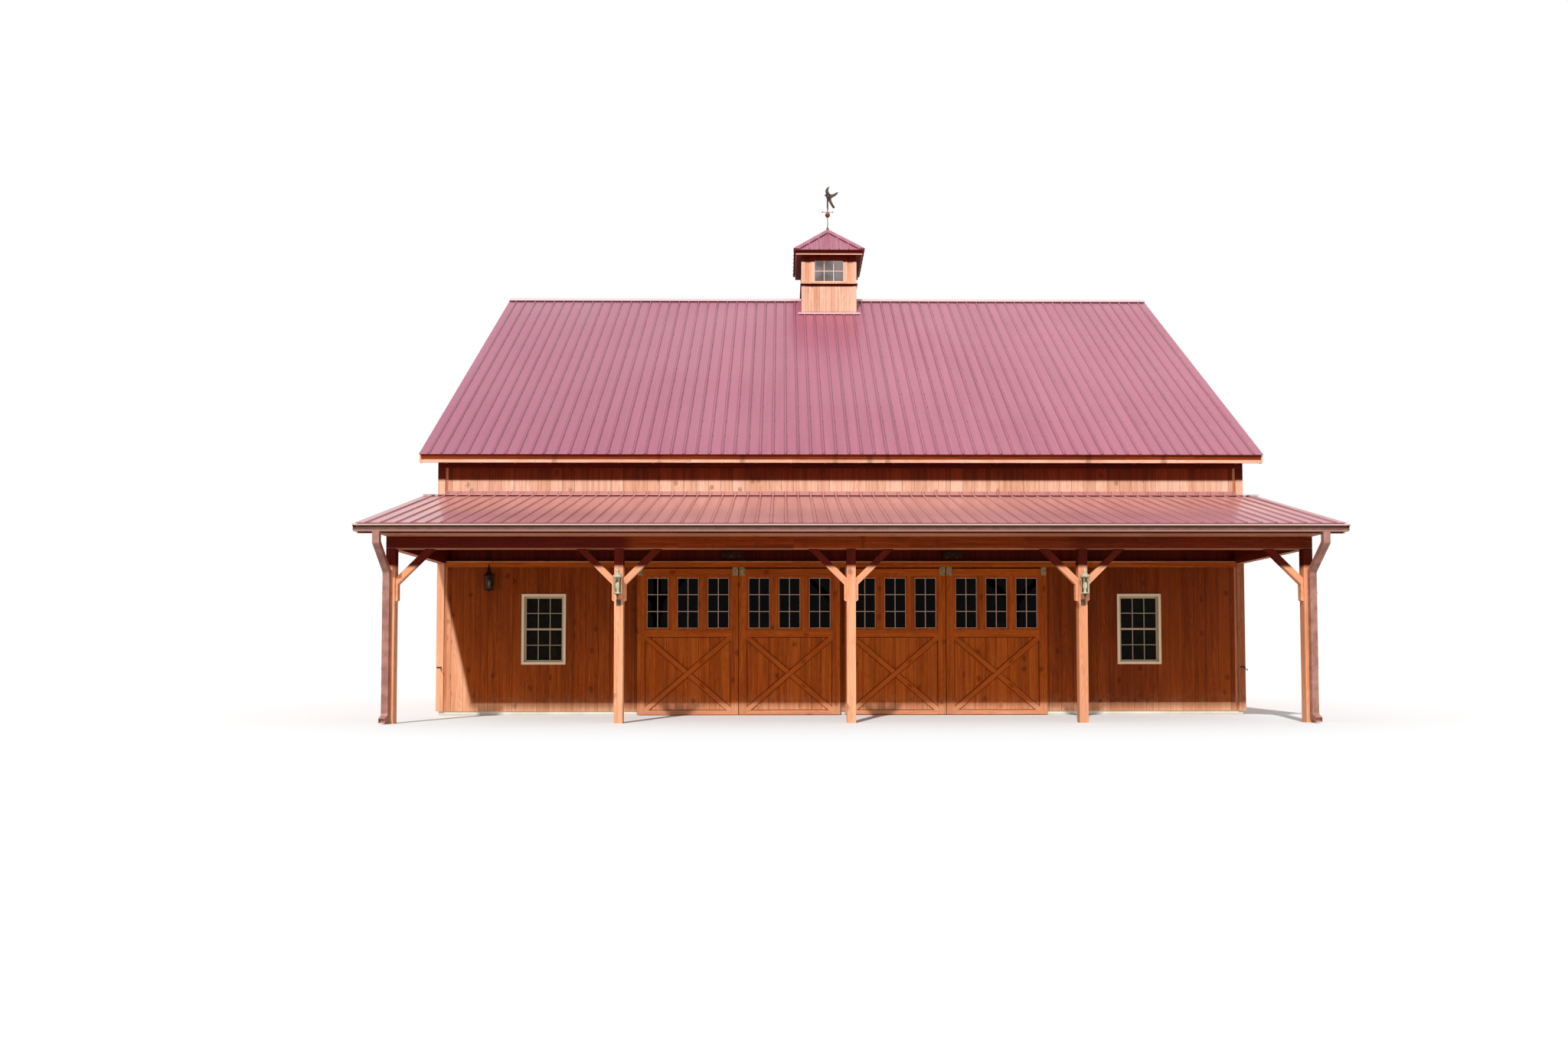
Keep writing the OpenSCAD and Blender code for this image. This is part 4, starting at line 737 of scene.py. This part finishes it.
def cast_concrete(name):
    finish, shader = new_material(name, 0.85)
    x, y, z = place()
    point = joined(x, y, z)
    fine = put(film, Place=point, Size=120.0)
    cloud = noise(point, 1.6, 6.0, 0.65)
    pits = tree.nodes.new("ShaderNodeTexVoronoi")
    wire(point, pits.inputs["Vector"])
    wire(34.0, pits.inputs["Scale"])
    pitted = fade(pits.outputs["Distance"], 0.05, 0.16)
    tone = mix(ramp(cloud, 0.3, 0.7), shade(226, 218, 200), shade(246, 240, 226))
    tone = mix(times(pitted, 0.5), tone, shade(120, 110, 96))
    tone = mix(fade(z, 0.0, 0.035, 0.45), tone, shade(134, 120, 98))
    wire(tone, shader.inputs["Base Color"])
    rough = minus(times(fine["Height"], 0.0012), times(pitted, 0.0015))
    bump(shader, rough)
    return finish


def window_glass(name, tint):
    """Slightly wavy sheet glass under a film of dust, clear in the lanterns, and in the cupola glowing with a
    painted reflection of the sky.
    """
    finish, shader = new_material(name, 0.02)
    shader.inputs["IOR"].default_value = 1.13
    shader.inputs["Transmission Weight"].default_value = 0.98
    x, y, z = place()
    point = joined(x, y, z)
    dust = put(film, Place=point, Size=40.0)
    # Painted reflection of the sky, glowing in the cupola's panes
    cloud = ramp(noise(point, 2.6, 2.0, 0.5), 0.35, 0.65, 0.5, 1.0)
    sky_reflection = times(above(z, CUPOLA_Z), cloud)
    wire(mix(sky_reflection, (0.0, 0.0, 0.0, 1.0), shade(124, 118, 122)), shader.inputs["Emission Color"])
    shader.inputs["Emission Strength"].default_value = 1.0
    on_wall = times(below(y, FRONT - 0.03), below(x, -6.0))
    tint = mix(larger(below(y, POST_FRONT), on_wall), tint, shade(214, 216, 200))
    tint = mix(times(dust["Spots"], 0.10), tint, shade(120, 116, 104))
    wire(tint, shader.inputs["Base Color"])
    wire(ramp(dust["Spots"], 0.0, 1.0, 0.02, 0.07), shader.inputs["Roughness"])
    bump(shader, times(noise(point, 3.0, 1.0, 0.5), 0.0012))
    return finish


def on_frieze(point):
    return times(above(point[Z], EAVE_SHADE[1]), below(point[Z], CUPOLA_Z))


def behind_porch_beam(point):
    return above(point[Y], POST_FRONT + 0.15)


def on_cupola_sides(point):
    beside = above(distance(point[X]), off_middle(point))
    return times(above(point[Z], CUPOLA_Z), beside)


front_boards = wall_boards("front_boards", X)
gable_boards = wall_boards("gable_boards", Y)
upright_timber = timber("upright_timber", Z, post_colours)
trim_timber = timber("trim_timber", Z, trim_colours, X, on_frieze)
beam_timber = timber("beam_timber", X, beam_colours, Y, behind_porch_beam)
rafter_timber = timber("rafter_timber", Y, rafter_colours)
eave_timber = timber("eave_timber", X, eave_colours, Y, on_cupola_sides)
cover_timber = timber("cover_timber", X, cover_colours)
# Rake boards in painted light all over
rake_timber = timber("rake_timber", Y, lambda point: PAINTED_LIT_STAIN)
braces_finish = brace_timber("brace_timber")
cupola_frame_timber = timber("cupola_frame_timber", Z, cupola_colours)
tie_timber = timber("tie_timber", Y, lambda point: RAW, worn=0.0)
roof_paint = painted_sheet("roof_paint")
copper = coated_metal("weathered_copper", (120, 70, 44), (176, 112, 78), 0.40, 0.9, 0.35, (92, 96, 80))
vane_metal = coated_metal("vane_metal", (44, 32, 26), (78, 58, 46), 0.45, 0.7, 0.30, (104, 80, 58))
pewter = pewter_paint("pewter_paint")
bronze = coated_metal("bronze_paint", (38, 20, 12), (60, 34, 22), 0.60, 0.1, 0.25, (92, 66, 46))
shader_of(bronze).inputs["Specular IOR Level"].default_value = 0.15
galvanised = coated_metal("galvanised_steel", (140, 132, 104), (188, 180, 150), 0.42, 0.75, 0.30, (112, 98, 70))
gutter_beads = gutter_paint("gutter_beads")
spout_enamel = coated_metal("spout_enamel", (146, 96, 84), (182, 130, 114), 0.40, 0.0, 0.15, (196, 152, 138))
cream = window_paint("cream_paint")
sash_paint = cream_paint("sash_paint", shade(172, 156, 130))
bulb_white = cream_paint("bulb_white", shade(252, 250, 240))
# The post lanterns' bulbs glow a little, as painted sunlight that the lantern glass keeps from them
shader_of(bulb_white).inputs["Emission Color"].default_value = shade(255, 250, 236)
shader_of(bulb_white).inputs["Emission Strength"].default_value = 0.5
muntin_paint = cream_paint("muntin_paint", shade(214, 170, 148))
pale_muntin_paint = cream_paint("pale_muntin_paint", shade(236, 206, 186))
black_iron = coated_metal("black_iron", (26, 24, 24), (44, 40, 38), 0.5, 0.6, 0.2, (70, 52, 40))
# The door lamps' lenses are dark brown, a painted shade under their hoods
lens = cream_paint("lamp_lens", shade(46, 20, 12))
shader_of(lens).inputs["Specular IOR Level"].default_value = 0.08
concrete = cast_concrete("cast_concrete")
glass = window_glass("window_glass", shade(116, 98, 70))
# The doors' glass is tinted nearly black, a painted shade of the dark room behind it
door_glass = window_glass("door_glass", shade(26, 14, 14))

FINISHES = {
    "foundation": concrete,
    "front_wall_left": front_boards, "front_wall_middle": front_boards, "front_wall_right": front_boards,
    "front_wall_upper": front_boards, "back_wall": front_boards,
    "left_gable_wall": gable_boards, "right_gable_wall": gable_boards,
    "wall_trim": trim_timber,
    "front_windows": cream, "back_windows": cream, "side_windows": cream,
    "fixed_glass": glass,
    "roof_beams": tie_timber, "front_roof_frame": rafter_timber, "back_roof_frame": rafter_timber,
    "front_roof_metal": roof_paint, "back_roof_metal": roof_paint,
    "roof_flashings": flashing_paint("flashing_paint"),
    "eave_boards": eave_timber, "rake_boards": rake_timber,
    "porch_posts": upright_timber, "knee_braces": braces_finish, "porch_beams": beam_timber,
    "porch_roof_frame": rafter_timber, "porch_roof_metal": roof_paint,
    "porch_gutter": gutter_beads, "downspouts": spout_enamel,
    "cupola_walls": cupola_boards("cupola_boards"), "cupola_windows": cupola_frame_timber,
    "cupola_roof": roof_paint,
    "finial_rod": copper, "weathervane": vane_metal,
    "post_lanterns": pewter, "wall_lights": bronze,
    "door_track": galvanised, "door_track_cover": cover_timber,
}
for side, (x0, body) in LEAVES.items():
    FINISHES[side + "_leaf"] = leaf_timber(side + "_timber", x0)
    FINISHES[side + "_glass"] = door_glass
for node, finish in FINISHES.items():
    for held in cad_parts[node].material_slots:
        held.material = finish


def pick(piece, kind, wanted):
    """Selects the piece's faces or edges for which wanted is true, and leaves it in edit mode."""
    bpy.ops.object.mode_set(mode="EDIT")
    bpy.ops.mesh.select_mode(type=kind)
    bpy.ops.mesh.select_all(action="DESELECT")
    bpy.ops.object.mode_set(mode="OBJECT")
    for part in piece.data.polygons if kind == "FACE" else piece.data.edges:
        part.select = wanted(part)
    bpy.ops.object.mode_set(mode="EDIT")


def ends(piece, edge):
    """The two corners of an edge."""
    return [piece.data.vertices[i].co for i in edge.vertices]


def started(name):
    """Names the active piece and takes its place and turn into its mesh."""
    piece = bpy.context.active_object
    piece.name = name
    piece.data.name = name
    bpy.ops.object.transform_apply(location=True, rotation=True, scale=True)
    return piece


def block(name, low, high):
    low, high = Vector(low), Vector(high)
    bpy.ops.object.select_all(action="DESELECT")
    bpy.ops.mesh.primitive_cube_add(size=1, location=(low + high) / 2, scale=high - low)
    return started(name)


def rod(name, start, end, radius, sides):
    start, end = Vector(start), Vector(end)
    run = end - start
    bpy.ops.object.select_all(action="DESELECT")
    bpy.ops.mesh.primitive_cylinder_add(vertices=sides, radius=radius, depth=run.length,
                                        location=(start + end) / 2,
                                        rotation=run.to_track_quat("Z", "Y").to_euler())
    return started(name)


def bevelled(piece, width, wanted, segments=1):
    pick(piece, "EDGE", wanted)
    bpy.ops.mesh.bevel(offset=width, segments=segments, affect="EDGES")
    bpy.ops.object.mode_set(mode="OBJECT")
    return piece


def copied(piece, name, move=(0, 0, 0), turn=0.0, about=(0, MIDDLE_Y, 0)):
    bpy.ops.object.select_all(action="DESELECT")
    piece.select_set(True)
    bpy.context.view_layer.objects.active = piece
    bpy.ops.object.duplicate(linked=False)
    if turn:
        bpy.ops.transform.rotate(value=-turn, orient_axis="Z", center_override=about)
    bpy.ops.transform.translate(value=move)
    return started(name)


def merged(name, parts):
    bpy.ops.object.select_all(action="DESELECT")
    for part in parts:
        part.select_set(True)
    bpy.context.view_layer.objects.active = parts[0]
    bpy.ops.object.join()
    return started(name)


def finished(piece, finish, body, smooth=None):
    """Gives the piece its finish, body and slot, smooth over edges below an angle in degrees."""
    bpy.ops.object.select_all(action="DESELECT")
    piece.select_set(True)
    bpy.context.view_layer.objects.active = piece
    if smooth:
        bpy.ops.object.shade_smooth_by_angle(angle=math.radians(smooth))
    piece.data.materials.clear()
    piece.data.materials.append(finish)
    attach(piece, body)


def bar(name, low, high, outward, chamfer=0.003):
    """A glazing bar whose two long edges on the outward face are chamfered."""
    piece = block(name, low, high)
    outward = Vector(outward)
    reach = max(corner.co.dot(outward) for corner in piece.data.vertices)
    length = max(Vector(high) - Vector(low))

    def long_and_outward(edge):
        start, end = ends(piece, edge)
        on_face = all(abs(point.dot(outward) - reach) < 1e-5 for point in (start, end))
        return on_face and (start - end).length > 0.9 * length
    return bevelled(piece, chamfer, long_and_outward)


def grille(name, width, height, columns, rows, y_front, y_back, bar_w):
    """Glazing bars over one pane centred on x = 0, z = 0, on both faces of the glass, facing -Y outside."""
    parts = []
    half_w, half_h, half_bar, deep, step = width / 2, height / 2, bar_w / 2, 0.011, 0.0005
    for outward, low_y in (((0, -1, 0), y_front), ((0, 1, 0), y_back - deep)):
        high_y = low_y + deep
        for i in range(1, columns):
            x = -half_w + i * width / columns
            parts.append(bar(name, (x - half_bar, low_y, -half_h), (x + half_bar, high_y, half_h), outward))
        for i in range(1, rows):
            z = -half_h + i * height / rows
            parts.append(bar(name, (-half_w, low_y + step, z - half_bar),
                             (half_w, high_y - step, z + half_bar), outward))
    return merged(name, parts)


def window_bars():
    """Bars of a six-over-six window at x = 0, with the wall's face at y = 0."""
    lower = grille("window_bars", *WINDOW_PANE, 3, 2, y_front=0.028, y_back=0.056, bar_w=0.015)
    upper = copied(lower, "window_bars", (0, 0, WINDOW_PITCH))
    return merged("window_bars", [lower, upper])


def set_in(piece, name, places):
    """Copies of the piece at each place and turn, in one mesh, and the piece itself removed."""
    parts = [copied(piece, name, move, turn, (0, 0, 0)) for move, turn in places]
    bpy.data.objects.remove(piece)
    return merged(name, parts)


low_pane = WINDOW_Z - WINDOW_PITCH / 2
half_turn = math.pi
for name, places in {
    "front_window_bars": [((side * WINDOW_X, FRONT, low_pane), 0.0) for side in SIDES],
    "back_window_bars": [((x, BACK, low_pane), half_turn) for x in (-WINDOW_X, -BAY / 2, BAY / 2, WINDOW_X)],
    "side_window_bars": [((side * HALF_L, MIDDLE_Y + end * HALF_D / 2, low_pane), side * half_turn / 2)
                         for side in SIDES for end in SIDES],
}.items():
    finished(set_in(window_bars(), name, places), sash_paint, "root")

# Bars of the cupola's four lights
pane = grille("cupola_bars", *CUPOLA_PANE, 3, 2, y_front=0.013, y_back=0.037, bar_w=0.018)
places = []
for turn in (0, half_turn / 2, half_turn, 1.5 * half_turn):
    x, y = CUPOLA_SASH_OUT * math.sin(turn), MIDDLE_Y - CUPOLA_SASH_OUT * math.cos(turn)
    places.append(((x, y, CUPOLA_PANE_Z), turn))
finished(set_in(pane, "cupola_bars", places), pale_muntin_paint, "root")


def leaf_bars():
    """Bars and glazing beads of one light of the doors."""
    grid = grille("leaf_bars", LEAF_LIGHT_W, LEAF_LIGHT_H, 2, 3, y_front=-0.062, y_back=-0.034, bar_w=0.014)
    half_w, half_h, bead = LEAF_LIGHT_W / 2, LEAF_LIGHT_H / 2, 0.012
    parts = [grid]
    for z in (-half_h, half_h - bead):
        parts.append(bar("bead", (-half_w, -0.066, z), (half_w, -0.051, z + bead), (0, -1, 0), 0.004))
    for x in (-half_w, half_w - bead):
        parts.append(bar("bead", (x, -0.066, -half_h), (x + bead, -0.051, half_h), (0, -1, 0), 0.004))
    return merged("leaf_bars", parts)


for side, (x0, body) in LEAVES.items():
    first = x0 + STILE + 0.030 + LEAF_LIGHT_W / 2
    places = [((first + i * LEAF_PITCH, FRONT, LEAF_LIGHT_Z + LEAF_LIGHT_H / 2), 0.0) for i in range(3)]
    finished(set_in(leaf_bars(), side + "_bars", places), muntin_paint, body)

# Round-headed bolts through the hangers
for side, (x0, body) in LEAVES.items():
    bolts = []
    y = LEAF_FACE_Y - 0.005
    for x in (x0 + BOLT_IN, x0 + LEAF_W - BOLT_IN):
        for z in BOLT_ROWS:
            washer = rod("bolt", (x, y, z), (x, y - 0.003, z), 0.014, 20)
            head = rod("bolt", (x, y - 0.003, z), (x, y - 0.011, z), 0.0095, 20)
            bevelled(head, 0.004, lambda edge: all(p.y < y - 0.0105 for p in ends(head, edge)), 3)
            bolts += [washer, head]
    finished(merged(side + "_bolts", bolts), galvanised, body, 40)


def turned(name, centre, outline, sides=20):
    """A round piece built up from its foot: outline holds radius and height pairs."""
    x, y, z = centre
    radius, height = outline[0]
    bpy.ops.object.select_all(action="DESELECT")
    bpy.ops.mesh.primitive_circle_add(vertices=sides, radius=radius, fill_type="NGON",
                                      location=(x, y, z + height))
    piece = started(name)
    bpy.ops.object.mode_set(mode="EDIT")
    bpy.ops.mesh.select_all(action="SELECT")
    for wider, higher in outline[1:]:
        bpy.ops.mesh.extrude_region_move(TRANSFORM_OT_translate={"value": (0, 0, higher - height)})
        widened = wider / radius
        bpy.ops.transform.resize(value=(widened, widened, 1), center_override=(x, y, z + higher))
        radius, height = wider, higher
    bpy.ops.mesh.select_all(action="SELECT")
    bpy.ops.mesh.normals_make_consistent(inside=False)
    bpy.ops.object.mode_set(mode="OBJECT")
    return piece


BULB = [(0.028, 0.000), (0.030, 0.006), (0.015, 0.010), (0.012, 0.060), (0.019, 0.064),
        (0.029, 0.076), (0.030, 0.120), (0.027, 0.146), (0.016, 0.160), (0.004, 0.168)]
SPIRE = [(0.030, 2.640), (0.016, 2.664), (0.011, 2.684), (0.015, 2.690),
         (0.015, 2.696), (0.006, 2.704), (0.008, 2.722), (0.003, 2.742)]


def bulb(name, x, y, foot):
    return turned(name, (x, y, foot), BULB)


# A frosted bulb on a stem in each lantern, and the wall lantern's spire
post_bulbs = [bulb("post_lantern_bulbs", side * BAY, POST_LANTERN_Y, 2.040) for side in SIDES]
finished(merged("post_lantern_bulbs", post_bulbs), bulb_white, "root", 40)
finished(bulb("wall_lantern_bulb", *WALL_LANTERN, 2.280), sash_paint, "root", 40)
finished(turned("wall_lantern_spire", (*WALL_LANTERN, 0.0), SPIRE), bronze, "root", 40)

# Slanted lenses under the hoods of the lamps over the doors
lenses = []
lens_y, lens_z = DOOR_LENS
for side in SIDES:
    x = side * DOOR_LAMP_X
    piece = block("door_lamp_lenses", (x - 0.155, lens_y - 0.045, lens_z - 0.0025),
                  (x + 0.155, lens_y + 0.045, lens_z + 0.0025))
    pick(piece, "FACE", lambda face: face.normal.z < -0.9)
    bpy.ops.mesh.inset(thickness=0.008)
    bpy.ops.transform.translate(value=(0, 0, -0.002))
    bpy.ops.mesh.select_all(action="SELECT")
    bpy.ops.transform.rotate(value=math.pi / 4, orient_axis="X", center_override=(0, lens_y, lens_z))
    bpy.ops.object.mode_set(mode="OBJECT")
    lenses.append(piece)
finished(merged("door_lamp_lenses", lenses), lens, "root")

# Iron hooks on the front corner boards
for side in SIDES:
    x = side * HOOK_X
    plate = block("hook", (x - 0.045, FRONT - 0.026, 0.855), (x + 0.045, FRONT - 0.020, 0.880))
    bevelled(plate, 0.002, lambda edge: all(p.y < FRONT - 0.0255 for p in ends(plate, edge)))
    arm = rod("hook", (x + 0.035, FRONT - 0.026, 0.868), (x + 0.055, FRONT - 0.075, 0.800), 0.006, 12)
    tip = rod("hook", (x + 0.055, FRONT - 0.075, 0.802), (x + 0.062, FRONT - 0.095, 0.830), 0.006, 12)
    hand = "left" if side < 0 else "right"
    finished(merged(hand + "_wall_hook", [plate, arm, tip]), black_iron, "root", 40)

# Bands that hold the downspouts to their posts
bands = []
band_front = POST_FRONT - 0.0795
for side in SIDES:
    x = side * SPOUT_X
    for z in SPOUT_BANDS_Z:
        band = block("downspout_bands", (x - 0.0545, band_front, z), (x + 0.0545, POST_FRONT + 0.001, z + 0.030))
        pick(band, "FACE", lambda face: abs(face.normal.x) > 0.9)
        bpy.ops.mesh.extrude_faces_move(TRANSFORM_OT_shrink_fatten={"value": 0.0012})
        bpy.ops.object.mode_set(mode="OBJECT")

        def upright_in_front(edge):
            start, end = ends(band, edge)
            return max(start.y, end.y) < band_front + 0.0005 and abs(start.z - end.z) > 0.02
        bands.append(bevelled(band, 0.004, upright_in_front, 2))
finished(merged("downspout_bands", bands), spout_enamel, "root")


def roof_screws(name, edge_y, edge_z, slope, rows):
    """One hexagonal screw beside the lowest row's left rib, repeated along the eave and up the slope."""
    up = Vector((0, math.cos(slope), math.sin(slope)))
    out = Vector((0, -math.sin(slope), math.cos(slope)))
    first = Vector((-(RIBS - 1) / 2 * RIB_GAP + 0.034, MIDDLE_Y - edge_y, edge_z)) + up * 0.10
    screw = rod(name, first, first + out * 0.003, 0.009, 6)
    pick(screw, "FACE", lambda face: face.normal.dot(out) > 0.9)
    bpy.ops.mesh.inset(thickness=0.0035)
    bpy.ops.mesh.extrude_region_move(TRANSFORM_OT_translate={"value": out * 0.005})
    bpy.ops.object.mode_set(mode="OBJECT")
    for count, step in ((RIBS, Vector((RIB_GAP, 0, 0))), (rows, up * 0.60)):
        repeat = screw.modifiers.new("rows", "ARRAY")
        repeat.count = count
        repeat.use_relative_offset = False
        repeat.use_constant_offset = True
        repeat.constant_offset_displace = step
        bpy.ops.object.modifier_apply(modifier="rows")
    return screw


front_screws = roof_screws("roof_screws", EAVE_Y, EAVE_Z, ROOF_SLOPE, 13)
pick(front_screws, "FACE", lambda face: abs(face.center.x) < 0.76 and abs(face.center.y - MIDDLE_Y) < 0.76)
bpy.ops.mesh.delete(type="FACE")
bpy.ops.object.mode_set(mode="OBJECT")
back_screws = copied(front_screws, "back_roof_screws", turn=math.pi)
finished(front_screws, roof_paint, "root")
finished(back_screws, roof_paint, "root")
porch_screws = roof_screws("porch_roof_screws", PORCH_EAVE_Y, PORCH_EAVE_Z, PORCH_SLOPE, 5)
finished(porch_screws, roof_paint, "root")

# The floor, the light and the camera
bpy.ops.object.select_all(action="DESELECT")
bpy.ops.mesh.primitive_plane_add(size=700, location=(0, 10, 0))
floor = started("floor")
floor_paint, shader = new_material("floor_paint", 0.9)
seen = tree.nodes.new("ShaderNodeLightPath").outputs["Is Camera Ray"]
wire(mix(seen, (0.62, 0.60, 0.55, 1.0), (0.94, 0.94, 0.93, 1.0)), shader.inputs["Base Color"])
shader.inputs["Specular IOR Level"].default_value = 0.1
floor.data.materials.append(floor_paint)

sun = bpy.data.lights.new("key_light", "SUN")
sun.energy = 2.6
sun.angle = math.radians(1.5)
key = bpy.data.objects.new("key_light", sun)
key.rotation_euler = Vector((0.30, 1.0, -0.96)).to_track_quat("-Z", "Y").to_euler()
bpy.context.collection.objects.link(key)

world = bpy.data.worlds.new("studio")
bpy.context.scene.world = world
world.use_nodes = True
tree = world.node_tree
seen = tree.nodes.new("ShaderNodeLightPath").outputs
reflected = larger(seen["Is Camera Ray"], seen["Is Glossy Ray"])
pale = larger(reflected, seen["Is Transmission Ray"])
backdrop = tree.nodes["Background"].inputs
wire(mix(pale, (0.94, 0.97, 1.0, 1.0), (1.0, 1.0, 1.0, 1.0)), backdrop["Color"])
wire(ramp(pale, 0.0, 1.0, 0.60, 1.0), backdrop["Strength"])

camera = bpy.data.cameras.new("camera")
camera.sensor_width = 36.0
camera.lens = 22.774
camera.shift_x = -0.00544
camera.shift_y = 0.0690
camera.clip_end = 400.0
viewpoint = bpy.data.objects.new("camera", camera)
viewpoint.location = (-1.0703, -22.222, 0.9397)
viewpoint.rotation_euler = (math.radians(91.88), 0.0009, math.radians(-0.527))
bpy.context.collection.objects.link(viewpoint)
bpy.context.scene.camera = viewpoint
bpy.context.scene.view_settings.view_transform = "Standard"
